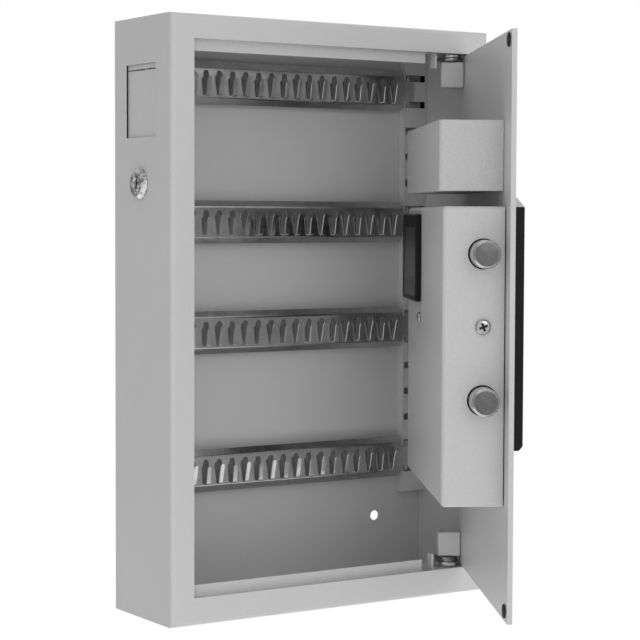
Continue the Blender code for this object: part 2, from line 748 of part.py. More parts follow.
def guide_plate():
    """A strip on the door with the two shouldered posts that run in the carriage's slots."""
    half = 0.0040
    low, high = POST_Z[0] - half, POST_Z[1] + half
    strip = box((POST_X - half, BEHIND_DOOR, low), (POST_X + half, BEHIND_DOOR + SHEET, high))
    plate = make("guide_plate", strip, STEEL, door=True)
    posts = bmesh.new()
    heads = bmesh.new()
    for z in POST_Z:
        cone((POST_X, BEHIND_DOOR + 0.0005, z), "Y", 0.0090, 0.0030, shape=posts, segments=24)
        cone((POST_X, BEHIND_DOOR + 0.0003, z), "Y", 0.0050, 0.0048, shape=heads, segments=24)
        cone((POST_X, 0.0125, z), "Y", 0.0012, 0.0048, shape=heads, segments=24)
    join(plate, posts, door=True)
    join(plate, heads, door=True)


def motor_bracket():
    """A hat-shaped bracket on the door that carries the gearbox over the rack."""
    low, high = PINION_Z - 0.026, PINION_Z + 0.026
    outline = (
        (BEHIND_DOOR, low - 0.009),
        (BEHIND_DOOR + SHEET, low - 0.009),
        (BEHIND_DOOR + SHEET, low),
        (0.0235, low),
        (0.0235, high),
        (BEHIND_DOOR + SHEET, high),
        (BEHIND_DOOR + SHEET, high + 0.009),
        (BEHIND_DOOR, high + 0.009),
        (BEHIND_DOOR, high - SHEET),
        (0.0235 - SHEET, high - SHEET),
        (0.0235 - SHEET, low + SHEET),
        (BEHIND_DOOR, low + SHEET),
    )
    folded = extrusion(outline, "X", PINION_X - 0.018, PINION_X + 0.018)
    bracket = make("motor_bracket", folded, GALVANISED, door=True)
    cut(bracket, cone((PINION_X, 0.021, PINION_Z), "Y", 0.004, 0.0032, segments=20), door=True)


def gear_motor():
    gearbox = make(
        "gearbox",
        box((PINION_X - 0.006, 0.0238, PINION_Z - 0.008), (PINION_X + 0.006, 0.0330, PINION_Z + 0.008)),
        BRASS,
        door=True,
    )
    cut(gearbox, cone((PINION_X, 0.023, PINION_Z), "Y", 0.0050, 0.0024, segments=20), door=True)
    motor = make("lock_motor", cone((PINION_X, 0.0333, PINION_Z), "Y", 0.0150, 0.0060), STEEL, door=True)
    join(motor, cone((PINION_X, 0.0480, PINION_Z), "Y", 0.0015, 0.0020, segments=16), door=True)
    smooth(motor)


def circuit_board():
    """The lock's control board with its larger components and the four posts it stands on."""
    board = make("circuit_board", box((0.142, 0.0150, 0.135), (0.196, 0.0166, 0.215)), BOARD, door=True)
    parts = box((0.158, 0.0160, 0.165), (0.172, 0.0186, 0.179))
    box((0.146, 0.0160, 0.196), (0.160, 0.0225, 0.203), shape=parts)
    box((0.176, 0.0160, 0.142), (0.190, 0.0225, 0.149), shape=parts)
    cone((0.182, 0.0160, 0.200), "Y", 0.0085, 0.0060, shape=parts, segments=24)
    join(board, parts, door=True)
    posts = bmesh.new()
    for x in (0.146, 0.192):
        for z in (0.139, 0.211):
            cone((x, BEHIND_DOOR, z), "Y", 0.0110, 0.0025, shape=posts, segments=12)
    join(board, posts, door=True)


def battery_box():
    """The plastic tray for four cells in the case's opening, and its lift-off cover."""
    left, right, low, high = 0.2010, 0.2760, 0.2720, 0.3360
    tray = make("battery_tray", box((left, 0.0330, low), (right, 0.0528, high)), BLACK, door=True)
    cut(tray, box((left + 0.0015, 0.0345, low + 0.0015), (right - 0.0015, 0.0540, high - 0.0015)), door=True)

    low, high = (COVER_LEFT, CASE_BACK + GAP, COVER_BOTTOM), (CASE_RIGHT, COVER_BACK, COVER_TOP)
    cover = make("battery_cover", box(low, high), BLACK, door=True)
    bevel(cover, 0.0012, 2)
    wall = 0.0015
    inside = box(
        (COVER_LEFT + wall, CASE_BACK, COVER_BOTTOM + wall),
        (CASE_RIGHT - wall, COVER_BACK - wall, COVER_TOP - wall),
    )
    cut(cover, inside, door=True)


def keypad():
    """The keypad's housing on the outside of the door, its inner board and its keys."""
    outline = (
        (-GAP, PAD_BOTTOM),
        (-GAP, PAD_TOP),
        (-0.0020, PAD_TOP),
        (-PAD_PROUD, PAD_TOP - PAD_SLOPE),
        (-PAD_PROUD, PAD_BOTTOM + 0.0035),
        (-0.0055, PAD_BOTTOM),
    )
    housing = make("keypad_housing", extrusion(outline, "X", PAD_LEFT, PAD_RIGHT), BLACK, door=True)
    bevel(housing, 0.0015, 2, 25)
    hollow = box(
        (PAD_LEFT + 0.003, -PAD_PROUD + 0.0025, PAD_BOTTOM + 0.005),
        (PAD_RIGHT - 0.003, 0.001, PAD_TOP - PAD_SLOPE - 0.001),
    )
    cut(housing, hollow, door=True)
    middle = (PAD_LEFT + PAD_RIGHT) / 2
    windows = bmesh.new()
    for column, row in key_grid():
        x, z = key_place(middle, column, row)
        half_x, half_z = KEY_WIDTH / 2 + 0.0004, KEY_HEIGHT / 2 + 0.0004
        box((x - half_x, -0.012, z - half_z), (x + half_x, -0.004, z + half_z), shape=windows)
    grip = (middle - 0.030, -0.012, PAD_BOTTOM + 0.016), (middle + 0.030, -0.0072, PAD_BOTTOM + 0.042)
    box(*grip, shape=windows)
    cut(housing, windows, door=True)

    board = box((PAD_LEFT + 0.006, -0.0022, 0.235), (PAD_RIGHT - 0.006, -0.0008, PAD_TOP - PAD_SLOPE - 0.003))
    make("keypad_board", board, BOARD, door=True)

    for name, (column, row) in zip(KEY_NAMES, key_grid()):
        x, z = key_place(middle, column, row)
        low = (x - KEY_WIDTH / 2, -PAD_PROUD - KEY_PROUD, z - KEY_HEIGHT / 2)
        high = (x + KEY_WIDTH / 2, -0.0040, z + KEY_HEIGHT / 2)
        key = make("key_" + name, box(low, high), KEYCAP, door=True)
        bevel(key, 0.0008, 1)


def key_grid():
    return [(column, row) for row in range(4) for column in range(3)]


def key_place(middle, column, row):
    return middle + (column - 1) * KEY_PITCH_X, KEY_TOP_Z - row * KEY_PITCH_Z


def build():
    cabinet_body()
    back_panel()
    door_stop("door_stop_top", OPENING_TOP, 1)
    door_stop("door_stop_bottom", OPENING_BOTTOM, -1)
    for name, edge, up in (("upper", OPENING_TOP, 1), ("lower", OPENING_BOTTOM, -1)):
        hinge_plate("hinge_plate_" + name, edge, up)
        hinge_pin("hinge_pin_" + name, edge, up)
    hinge_washer("hinge_washer_upper", BLOCK_HIGH_Z[1] + GAP, OPENING_TOP)
    hinge_washer("hinge_washer_lower", BLOCK_LOW_Z[0] - GAP, OPENING_BOTTOM)
    upright("upright_left", SHEET + GAP, 1)
    upright("upright_right", WIDTH - SHEET - GAP, -1)
    for index, step in enumerate(BAR_STEPS):
        key_bar(f"key_bar_{index + 1}", SLOT_LOW + (step + 0.5) * SLOT_PITCH)
    drop_flap()
    flap_bracket()
    flap_pin()
    flap_spring()
    cam_lock()
    door_panel()
    hinge_block("hinge_block_upper", *BLOCK_HIGH_Z)
    hinge_block("hinge_block_lower", *BLOCK_LOW_Z)
    door_bumper("door_bumper_upper", DOOR_TOP - 0.0075)
    door_bumper("door_bumper_lower", DOOR_BOTTOM + 0.0083)
    lock_case()
    case_screw()
    cover_screw()
    key_tray()
    bolt("bolt_lower", BOLT_LOW_Z)
    bolt("bolt_upper", BOLT_HIGH_Z)
    bolt_guide()
    bolt_carriage()
    drive_pinion()
    guide_plate()
    motor_bracket()
    gear_motor()
    circuit_board()
    battery_box()
    keypad()
    bpy.context.view_layer.update()


build()
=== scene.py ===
"""The looks of a wall-mounted steel key cabinet with an electronic lock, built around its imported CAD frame.

Metres, +Z up. Pieces of the cabinet are measured from its front lower left corner: X right, Y into
the wall, Z up. Pieces of the door are measured from the same corner with the door shut, and the
frame's hinge swings them to the open position that the frame rests in.
"""

import json
import math

import bmesh
import bpy
from mathutils import Matrix, Vector


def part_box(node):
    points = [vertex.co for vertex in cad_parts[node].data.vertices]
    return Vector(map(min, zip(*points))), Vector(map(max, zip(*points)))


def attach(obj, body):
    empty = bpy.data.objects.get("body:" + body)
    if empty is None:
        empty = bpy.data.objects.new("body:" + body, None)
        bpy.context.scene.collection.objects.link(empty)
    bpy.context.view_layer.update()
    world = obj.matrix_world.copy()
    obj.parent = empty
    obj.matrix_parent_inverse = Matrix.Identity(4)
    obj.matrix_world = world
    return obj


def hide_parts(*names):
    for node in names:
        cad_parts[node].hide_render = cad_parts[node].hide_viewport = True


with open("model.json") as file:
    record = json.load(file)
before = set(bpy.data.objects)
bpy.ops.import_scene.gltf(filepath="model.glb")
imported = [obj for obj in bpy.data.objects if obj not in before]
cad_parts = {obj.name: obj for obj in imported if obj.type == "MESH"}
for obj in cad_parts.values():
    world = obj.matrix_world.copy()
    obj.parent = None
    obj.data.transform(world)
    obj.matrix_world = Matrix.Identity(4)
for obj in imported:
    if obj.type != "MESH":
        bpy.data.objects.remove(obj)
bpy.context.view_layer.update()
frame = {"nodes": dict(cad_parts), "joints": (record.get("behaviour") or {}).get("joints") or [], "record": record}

# The main view: a long lens at the front left, a little above the cabinet's middle
CAMERA_PLACE = Vector((-0.91683, -1.49069, 0.08679))
CAMERA_YAW = math.radians(32.8975)
CAMERA_PITCH = math.radians(-3.0481)
CAMERA_ROLL = math.radians(0.2122)
CAMERA_LENS = 110.06
SENSOR_WIDTH = 36.0

# Sheet metal. The flap's opening goes from its lowest to its highest Z
SHEET = 0.0015
EDGE_RADIUS = 0.0003
FOLD_RADIUS = 0.0042
CASE_FOLD = 0.0036
TRAY_FOLD = 0.0034
FLAP_HATCH = (0.39, 0.475)

# Hinges
PIN_RADIUS = 0.0040
PIN_HEAD = 0.0025
WASHER_BORE = 0.0043
WASHER_GAP = 0.0003

# Key bars. A hook is given by how far out its elbow and tip are, and by its height
BAR_SHEET = 0.0012
BAR_REACH = 0.0080
BAR_HALF = 0.0130
BAR_DEPTH = 0.0045
BAR_SLOPE = 0.0056
HOOK_COUNT = 19
HOOK_PITCH = 0.01324
HOOK_WIDTH = 0.0042
HOOK_SHEET = 0.0010
HOOK_ROOT = 0.0112
HOOK_LONG = (0.0018, 0.0066, 0.0178)
HOOK_SHORT = (0.0034, 0.0062, 0.0158)
HOLE_WIDTH = 0.0046
HOLE_HEIGHT = 0.0214
SLOT_PITCH = 0.0241
TAB_LENGTH = 0.0145
TAB_HALF = 0.0085
PRONG_START = 0.0066
PRONG_WIDTH = 0.0028

# Locks. A screw has its head's height and its shank's radius; a chip has its X, Z, width and height
LOCK_BORE = 0.0062
BOLT_HOLE = 0.0120
SCREWS = {"cam_screw": (0.0022, 0.0017), "case_screw": (0.0032, 0.0024), "cover_screw": (0.0024, 0.0020)}
CHIPS = ((0.020, 0.040, 0.009, 0.006), (0.038, 0.034, 0.006, 0.005), (0.010, 0.018, 0.005, 0.009))

# Keypad
PAD_SLOPE = 0.0075
KEY_CORNER = 0.0026
MARK_SIZE = 0.0078
KEY_MARKS = {**{str(digit): str(digit) for digit in range(10)}, "clear": "*", "enter": "#"}

SEGMENTS = 64

JOINTS = {joint["name"]: joint for joint in frame["joints"]}
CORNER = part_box("cabinet_body")[0]
HOME = Matrix.Translation(CORNER)
HINGE = Vector(JOINTS["door_swing"]["pos_m"])
OPEN = -math.radians(JOINTS["door_swing"]["range_deg"][0])
DOOR = Matrix.Translation(HINGE) @ Matrix.Rotation(OPEN, 4, "Z") @ Matrix.Translation(-HINGE) @ HOME
BODY_OF = {node: body for body, nodes in frame["record"]["behaviour"]["bodies"].items() for node in nodes}
FIXED_BODIES = {"cabinet", "flap", "lock_core"}


def place_of(node):
    """The frame that a node's piece is measured in."""
    return HOME if BODY_OF[node] in FIXED_BODIES else DOOR


def span(node):
    """The lowest and highest corners of a CAD node, in its own frame."""
    back = place_of(node).inverted()
    points = [back @ vertex.co for vertex in frame["nodes"][node].data.vertices]
    low = Vector([min(point[axis] for point in points) for axis in range(3)])
    high = Vector([max(point[axis] for point in points) for axis in range(3)])
    return low, high


# ---------------------------------------------------------------- materials


def add(tree, kind, inputs=None, **settings):
    """Adds a shader node; an input is a value or the socket that feeds it."""
    made = tree.nodes.new(kind)
    for key, value in settings.items():
        setattr(made, key, value)
    for key, value in (inputs or {}).items():
        if isinstance(value, bpy.types.NodeSocket):
            tree.links.new(value, made.inputs[key])
        else:
            made.inputs[key].default_value = value
    return made


def noise(tree, coordinates, scale, detail=2.0):
    """A noise texture's value."""
    inputs = {"Vector": coordinates, "Scale": scale, "Detail": detail}
    return add(tree, "ShaderNodeTexNoise", inputs).outputs["Fac"]


def ranged(tree, value, low, high, start=0.3, end=0.7):
    """Maps a texture's usual spread to a range of values."""
    inputs = {"Value": value, "From Min": start, "From Max": end, "To Min": low, "To Max": high}
    return add(tree, "ShaderNodeMapRange", inputs).outputs["Result"]


def times(tree, first, second):
    """The product of two values."""
    return add(tree, "ShaderNodeMath", {0: first, 1: second}, operation="MULTIPLY").outputs[0]


def plus(tree, first, second):
    """The sum of two values."""
    return add(tree, "ShaderNodeMath", {0: first, 1: second}, operation="ADD").outputs[0]


def blank(name, metallic=0.0):
    """A new material, with its node tree, its shader and its object coordinates."""
    made = bpy.data.materials.new(name)
    made.use_nodes = True
    tree = made.node_tree
    shader = tree.nodes["Principled BSDF"]
    shader.inputs["Metallic"].default_value = metallic
    coordinates = add(tree, "ShaderNodeTexCoord").outputs["Object"]
    return made, tree, shader, coordinates


def bump(tree, shader, height, strength, distance):
    """Feeds a height to the shader's normal."""
    made = add(tree, "ShaderNodeBump", {"Height": height, "Strength": strength, "Distance": distance})
    tree.links.new(made.outputs["Normal"], shader.inputs["Normal"])


def tinted(tree, shader, value, tint=(1.0, 1.0, 1.0)):
    """Feeds a brightness that varies over the surface, times a tint, to the base colour."""
    scaled = [times(tree, value, part) for part in tint]
    colour = add(tree, "ShaderNodeCombineColor", dict(zip(("Red", "Green", "Blue"), scaled)))
    tree.links.new(colour.outputs["Color"], shader.inputs["Base Color"])


def glossed(tree, shader, place, scale, detail, low, high):
    """Feeds a roughness that varies over the surface from low to high."""
    gloss = ranged(tree, noise(tree, place, scale, detail), low, high)
    tree.links.new(gloss, shader.inputs["Roughness"])


def powder_coat(name, tone, peel=1.0):
    """Grey powder coat: fine grain, orange peel that is peel times as deep, and slightly uneven gloss."""
    made, tree, shader, place = blank(name)
    broad = ranged(tree, noise(tree, place, 11.0, 3.0), 0.985, 1.015)
    grain = ranged(tree, noise(tree, place, 1300.0, 2.0), 0.93, 1.07)
    tinted(tree, shader, times(tree, times(tree, broad, grain), tone))
    glossed(tree, shader, place, 240.0, 3.0, 0.34, 0.46)
    skin = noise(tree, place, 420.0, 1.0)
    fine = times(tree, noise(tree, place, 1300.0, 2.0), 0.35)
    bump(tree, shader, plus(tree, skin, fine), 0.5, 0.00022 * peel)
    return made


def galvanised(name):
    """Zinc-coated sheet: crystal spangle, faint rolling lines and a fairly bright surface."""
    made, tree, shader, place = blank(name, 1.0)
    cells = add(tree, "ShaderNodeTexVoronoi", {"Vector": place, "Scale": 150.0, "Randomness": 1.0})
    split = add(tree, "ShaderNodeSeparateColor", {"Color": cells.outputs["Color"]})
    spangle = ranged(tree, split.outputs["Red"], 0.92, 1.06, 0.0, 1.0)
    cloud = ranged(tree, noise(tree, place, 45.0, 4.0), 0.92, 1.05)
    tinted(tree, shader, times(tree, times(tree, spangle, cloud), 0.60), (1.0, 1.0, 1.01))
    gloss = ranged(tree, split.outputs["Green"], 0.14, 0.23, 0.0, 1.0)
    tree.links.new(gloss, shader.inputs["Roughness"])
    bump(tree, shader, noise(tree, place, 380.0, 3.0), 0.25, 0.00008)
    return made


def plain_steel(name, tone=0.55, roughness=(0.2, 0.34), pitted=0.3):
    """Zinc-plated small hardware: mottled plating with fine scratches."""
    made, tree, shader, place = blank(name, 1.0)
    cloud = ranged(tree, noise(tree, place, 300.0, 4.0), 0.85, 1.1)
    tinted(tree, shader, times(tree, cloud, tone))
    glossed(tree, shader, place, 700.0, 3.0, *roughness)
    stretched = add(tree, "ShaderNodeMapping", {"Vector": place, "Scale": (1.0, 0.08, 1.0)}).outputs[0]
    bump(tree, shader, noise(tree, stretched, 2600.0, 2.0), pitted, 0.00003)
    return made


def turned_steel(name, tone, spacing=0.00034):
    """Steel turned on a lathe: fine rings round the piece's own Z axis."""
    made, tree, shader, place = blank(name, 1.0)
    inputs = {"Vector": place, "Scale": math.pi / 10 / spacing, "Distortion": 0.6, "Detail": 1.0}
    rings = add(tree, "ShaderNodeTexWave", inputs, wave_type="RINGS", rings_direction="Z").outputs["Fac"]
    cloud = ranged(tree, noise(tree, place, 220.0, 3.0), 0.86, 1.08)
    groove = ranged(tree, rings, 0.92, 1.04, 0.0, 1.0)
    tinted(tree, shader, times(tree, times(tree, cloud, groove), tone))
    glossed(tree, shader, place, 900.0, 2.0, 0.2, 0.34)
    bump(tree, shader, rings, 0.35, 0.00003)
    return made


def chrome(name):
    """Bright chrome plate, whose uneven tone stands in for reflections of a room."""
    made, tree, shader, place = blank(name, 1.0)
    cloud = ranged(tree, noise(tree, place, 230.0, 2.0), 0.22, 0.82, 0.38, 0.62)
    tinted(tree, shader, cloud)
    glossed(tree, shader, place, 600.0, 3.0, 0.06, 0.14)
    bump(tree, shader, noise(tree, place, 500.0, 2.0), 0.15, 0.00003)
    return made


def brass(name):
    """Dull machined brass."""
    made, tree, shader, place = blank(name, 1.0)
    cloud = ranged(tree, noise(tree, place, 350.0, 4.0), 0.85, 1.08)
    tinted(tree, shader, cloud, (0.62, 0.47, 0.20))
    glossed(tree, shader, place, 900.0, 3.0, 0.24, 0.38)
    bump(tree, shader, noise(tree, place, 1600.0, 2.0), 0.2, 0.00003)
    return made


def grained_plastic(name, tone, roughness=(0.36, 0.5), shine=0.15):
    """Moulded plastic with a spark-eroded grain."""
    made, tree, shader, place = blank(name)
    shader.inputs["Specular IOR Level"].default_value = shine
    cloud = ranged(tree, noise(tree, place, 60.0, 3.0), 0.9, 1.1)
    tinted(tree, shader, times(tree, cloud, tone))
    glossed(tree, shader, place, 500.0, 3.0, *roughness)
    bump(tree, shader, noise(tree, place, 1400.0, 3.0), 0.4, 0.00005)
    return made


def rubber(name):
    """Matt black rubber."""
    made, tree, shader, place = blank(name)
    dust = ranged(tree, noise(tree, place, 500.0, 4.0), 0.010, 0.022)
    tinted(tree, shader, dust)
    glossed(tree, shader, place, 800.0, 3.0, 0.6, 0.8)
    bump(tree, shader, noise(tree, place, 1800.0, 3.0), 0.4, 0.00006)
    return made


def board_mask(name):
    """Green solder mask with copper tracks showing through as paler stripes."""
    made, tree, shader, place = blank(name)
    inputs = {"Vector": place, "Scale": 260.0, "Distortion": 3.0, "Detail": 1.0, "Detail Scale": 0.6}
    tracks = add(tree, "ShaderNodeTexWave", inputs, bands_direction="DIAGONAL").outputs["Fac"]
    tinted(tree, shader, ranged(tree, tracks, 0.7, 1.5, 0.42, 0.58), (0.015, 0.11, 0.05))
    glossed(tree, shader, place, 400.0, 2.0, 0.3, 0.42)
    bump(tree, shader, tracks, 0.3, 0.00004)
    return made


def lens(name, colour):
    """Clear coloured plastic."""
    made, tree, shader, place = blank(name)
    tinted(tree, shader, ranged(tree, noise(tree, place, 900.0, 2.0), 0.9, 1.1), colour)
    glossed(tree, shader, place, 700.0, 2.0, 0.1, 0.2)
    shader.inputs["Transmission Weight"].default_value = 0.3
    return made


PAINT = powder_coat("grey_powder_coat", 0.63)
TRAY_PAINT = powder_coat("coarse_powder_coat", 0.61, 9.0)
ZINC = galvanised("galvanised_sheet")
STEEL = plain_steel("plated_steel")
SCREW = plain_steel("bright_plated_steel", 0.52, (0.10, 0.22), 0.9)
TURNED = turned_steel("turned_steel", 0.5)
# Near-black steel that paints shade: in the flap's gap, inside the uprights, behind the key bars' holes and in the
# screws' cross recesses
PAINTED_SHADE_STEEL = plain_steel("painted_shade_dark_steel", 0.05, (0.45, 0.6))
BOLT_SIDE = turned_steel("turned_bolt", 0.58, 0.0006)
BOLT_FACE = turned_steel("faced_bolt_end", 0.17, 0.0005)
# A darker copy of the turned steel that paints shade on one washer of each hinge
SHADED_WASHER_STEEL = turned_steel("painted_shade_turned_steel", 0.26)
CHROME = chrome("chrome_plate")
BRASS = brass("brass")
BLACK = grained_plastic("black_plastic", 0.010)
# Glossier than the black plastic, and a little lighter to paint part of its sheen
GLOSSY_BLACK_WITH_PAINTED_SHEEN = grained_plastic("satin_black_plastic_with_painted_sheen", 0.028, (0.30, 0.40), 0.6)
# A light grey on the black housing's top slope that paints its sheen
SLOPE_SHEEN_GREY = grained_plastic("painted_sheen_grey_plastic", 0.60)
GREY_KEY = grained_plastic("key_plastic", 0.11, (0.45, 0.6))
PRINT = grained_plastic("white_print", 0.72, (0.5, 0.6))
RUBBER = rubber("black_rubber")
BOARD = board_mask("solder_mask")
CHIP = grained_plastic("chip_resin", 0.018, (0.5, 0.65))
LENSES = (
    lens("green_lens", (0.05, 0.45, 0.08)),
    lens("amber_lens", (0.65, 0.32, 0.03)),
    lens("red_lens", (0.55, 0.03, 0.02)),
)


# ---------------------------------------------------------------- mesh helpers


def box(low, high, shape=None):
    """Adds a box between two opposite corners."""
    shape = shape or bmesh.new()
    low, high = Vector(low), Vector(high)
    size = Matrix.Diagonal((*(high - low), 1))
    bmesh.ops.create_cube(shape, size=1, matrix=Matrix.Translation((low + high) / 2) @ size)
    return shape


def axis_turn(axis):
    """The turn that takes +Z to the named axis."""
    return {
        "X": Matrix.Rotation(math.pi / 2, 4, "Y"),
        "-X": Matrix.Rotation(-math.pi / 2, 4, "Y"),
        "Y": Matrix.Rotation(-math.pi / 2, 4, "X"),
        "-Y": Matrix.Rotation(math.pi / 2, 4, "X"),
        "Z": Matrix.Identity(4),
        "-Z": Matrix.Rotation(math.pi, 4, "X"),
    }[axis]


def extrusion(outline, along, low, high, shape=None):
    """Adds a flat outline, listed as pairs, run from low to high along the third axis."""
    shape = shape or bmesh.new()
    order = {"X": (2, 0, 1), "Y": (0, 2, 1), "Z": (0, 1, 2)}[along]

    def point(pair, depth):
        values = (*pair, depth)
        return Vector([values[index] for index in order])

    ring = [shape.verts.new(point(pair, low)) for pair in outline]
    face = shape.faces.new(ring)
    moved = bmesh.ops.extrude_face_region(shape, geom=[face])["geom"]
    shift = point((0, 0), high) - point((0, 0), low)
    bmesh.ops.translate(shape, vec=shift, verts=[v for v in moved if isinstance(v, bmesh.types.BMVert)])
    bmesh.ops.recalc_face_normals(shape, faces=shape.faces[:])
    return shape


def arc(centre, radius, start, end, steps):
    """Points along an arc, its angles in degrees."""
    for step in range(steps + 1):
        angle = math.radians(start + (end - start) * step / steps)
        yield centre[0] + radius * math.cos(angle), centre[1] + radius * math.sin(angle)


def softened(profile, radius, steps=3):
    """A profile's points with each inner corner replaced by a small arc."""
    result = [Vector(profile[0])]
    for before, corner, after in zip(profile, profile[1:], profile[2:]):
        corner = Vector(corner)
        inward, outward = (Vector(before) - corner), (Vector(after) - corner)
        reach = min(radius, inward.length * 0.45, outward.length * 0.45)
        first = corner + inward.normalized() * reach
        last = corner + outward.normalized() * reach
        for step in range(steps + 1):
            share = step / steps
            result.append(
                first * (1 - share) ** 2 + corner * 2 * share * (1 - share) + last * share**2
            )
    result.append(Vector(profile[-1]))
    return result


def lathe(profile, radius=0.0, segments=SEGMENTS):
    """Turns (radius, height) pairs about Z. The profile ends on the axis, or closes on itself."""
    shape = bmesh.new()
    points = softened(profile, radius) if radius else [Vector(pair) for pair in profile]
    turns = [2 * math.pi * step / segments for step in range(segments)]
    rings = []
    for distance, height in points:
        ring = [(distance * math.cos(turn), distance * math.sin(turn), height) for turn in turns]
        if distance < 1e-7:
            ring = [(0, 0, height)]
        rings.append([shape.verts.new(point) for point in ring])
    for lower, upper in zip(rings, rings[1:]):
        for step in range(segments):
            after = (step + 1) % segments
            if len(lower) == 1 and len(upper) == 1:
                continue
            if len(lower) == 1:
                shape.faces.new((lower[0], upper[step], upper[after]))
            elif len(upper) == 1:
                shape.faces.new((lower[step], lower[after], upper[0]))
            else:
                shape.faces.new((lower[step], lower[after], upper[after], upper[step]))
    bmesh.ops.remove_doubles(shape, verts=shape.verts[:], dist=1e-7)
    bmesh.ops.recalc_face_normals(shape, faces=shape.faces[:])
    return shape


def loft(shape, rings):
    """Adds faces between rings of equal length, and closes both ends."""
    count = len(rings[0])
    for first, second in zip(rings, rings[1:]):
        for step in range(count):
            after = (step + 1) % count
            shape.faces.new((first[step], first[after], second[after], second[step]))
    shape.faces.new(rings[0][::-1])
    shape.faces.new(rings[-1])


def curve_mesh(curve):
    """The mesh of a wire or a text."""
    helper = bpy.data.objects.new("helper", curve)
    bpy.context.scene.collection.objects.link(helper)
    graph = bpy.context.evaluated_depsgraph_get()
    mesh = bpy.data.meshes.new_from_object(helper.evaluated_get(graph), depsgraph=graph)
    bpy.data.objects.remove(helper, do_unlink=True)
    return mesh


def settle(obj):
    """Applies the object's modifiers to its mesh."""
    graph = bpy.context.evaluated_depsgraph_get()
    obj.data = bpy.data.meshes.new_from_object(obj.evaluated_get(graph), depsgraph=graph)
    obj.modifiers.clear()


def boolean(obj, shape, operation):
    """Cuts a shape from the object or joins it on. The shape is measured as the object's mesh is."""
    mesh = bpy.data.meshes.new("tool")
    shape.to_mesh(mesh)
    shape.free()
    tool = bpy.data.objects.new("tool", mesh)
    tool.matrix_world = obj.matrix_world
    bpy.context.scene.collection.objects.link(tool)
    modifier = obj.modifiers.new("boolean", "BOOLEAN")
    modifier.operation = operation
    modifier.solver = "EXACT"
    modifier.use_self = operation == "UNION"
    modifier.object = tool
    bpy.context.view_layer.update()
    settle(obj)
    bpy.data.objects.remove(tool, do_unlink=True)


def cut(obj, shape):
    """Cuts a shape out of the object."""
    boolean(obj, shape, "DIFFERENCE")


def join(obj, shape):
    """Joins a shape on to the object."""
    boolean(obj, shape, "UNION")


def tidy_mesh(obj):
    """Welds the mesh and joins its flat triangles into whole faces."""
    shape = bmesh.new()
    shape.from_mesh(obj.data)
    bmesh.ops.remove_doubles(shape, verts=shape.verts[:], dist=1e-5)
    flat = math.radians(1)
    edges = shape.edges[:]
    bmesh.ops.dissolve_limit(shape, angle_limit=flat, verts=shape.verts[:], edges=edges, delimit={"NORMAL"})
    shape.to_mesh(obj.data)
    shape.free()


def weigh_edges(obj, width, folds, fold_width):
    """Marks each sharp edge for bevelling: fold_width where folds(middle, edge) holds, else width."""
    shape = bmesh.new()
    shape.from_mesh(obj.data)
    layers = shape.edges.layers.float
    weight = layers.get("bevel_weight_edge") or layers.new("bevel_weight_edge")
    for edge in shape.edges:
        if len(edge.link_faces) != 2 or edge.calc_face_angle(0) < math.radians(30):
            continue
        middle = (edge.verts[0].co + edge.verts[1].co) / 2
        wide = folds is not None and folds(middle, edge)
        edge[weight] = 1.0 if wide else width / fold_width
    shape.to_mesh(obj.data)
    shape.free()


def level(obj, angle=35):
    """Shades the object smooth below an angle and keeps its large faces flat."""
    obj.data.shade_smooth()
    obj.data.set_sharp_from_angle(angle=math.radians(angle))
    normals = obj.modifiers.new("normals", "WEIGHTED_NORMAL")
    normals.keep_sharp = True
    settle(obj)


def soften(obj, width=EDGE_RADIUS, segments=2, folds=None, fold_width=None):
    """Rounds the object's sharp edges and shades it so that its flat faces stay flat."""
    fold_width = fold_width or width
    weigh_edges(obj, width, folds, fold_width)
    modifier = obj.modifiers.new("rounded", "BEVEL")
    modifier.width = fold_width
    modifier.segments = segments
    modifier.limit_method = "WEIGHT"
    modifier.use_clamp_overlap = True
    level(obj, 60)


def second_finish(obj, finish, chosen):
    """Gives a second finish to the faces that chosen(centre, normal) picks."""
    obj.data.materials.append(finish)
    for face in obj.data.polygons:
        if chosen(face.center, face.normal):
            face.material_index = 1


def piece(name, shape, place, body, finish, nodes=(), angle=35):
    """An object from a bmesh measured in a place's frame, riding on a body and standing for CAD nodes."""
    mesh = bpy.data.meshes.new(name)
    shape.to_mesh(mesh)
    shape.free()
    return settled(bpy.data.objects.new(name, mesh), place, body, finish, nodes, angle)


def settled(obj, place, body, finish, nodes, angle=None):
    """Puts an object in its place, gives it its finish and tells the frame what it is."""
    obj.matrix_world = place
    bpy.context.scene.collection.objects.link(obj)
    obj.data.materials.clear()
    obj.data.materials.append(finish)
    if angle:
        obj.data.shade_smooth()
        obj.data.set_sharp_from_angle(angle=math.radians(angle))
    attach(obj, body)
    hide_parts(*nodes)
    return obj


def copied(node, finish, width=EDGE_RADIUS, segments=2, folds=None, fold_width=None):
    """A finely edged copy of a CAD node, measured in its own frame."""
    place = place_of(node)
    mesh = frame["nodes"][node].data.copy()
    mesh.transform(place.inverted())
    mesh.name = node + "_detailed"
    obj = bpy.data.objects.new(node + "_detailed", mesh)
    tidy_mesh(obj)
    settled(obj, place, BODY_OF[node], finish, (node,))
    bpy.context.view_layer.update()
    soften(obj, width, segments, folds, fold_width)
    return obj


def turned(name, start, axis, profile, parent, body, finish, nodes=(), radius=0.0002, segments=SEGMENTS):
    """A lathed piece whose own Z axis is its turning axis."""
    place = parent @ Matrix.Translation(Vector(start)) @ axis_turn(axis)
    return piece(name, lathe(profile, radius, segments), place, body, finish, nodes, 40)


# ---------------------------------------------------------------- cabinet


def outer_fold(low, high):
    """Makes a test of whether an edge lies along two outer faces of the box, as a folded edge does."""

    def test(middle, edge):
        direction = (edge.verts[1].co - edge.verts[0].co).normalized()
        along = max(range(3), key=lambda axis: abs(direction[axis]))
        if abs(direction[along]) < 0.999:
            return False
        others = [axis for axis in range(3) if axis != along]
        return all(
            min(abs(middle[axis] - low[axis]), abs(middle[axis] - high[axis])) < 1e-4 for axis in others
        )

    return test


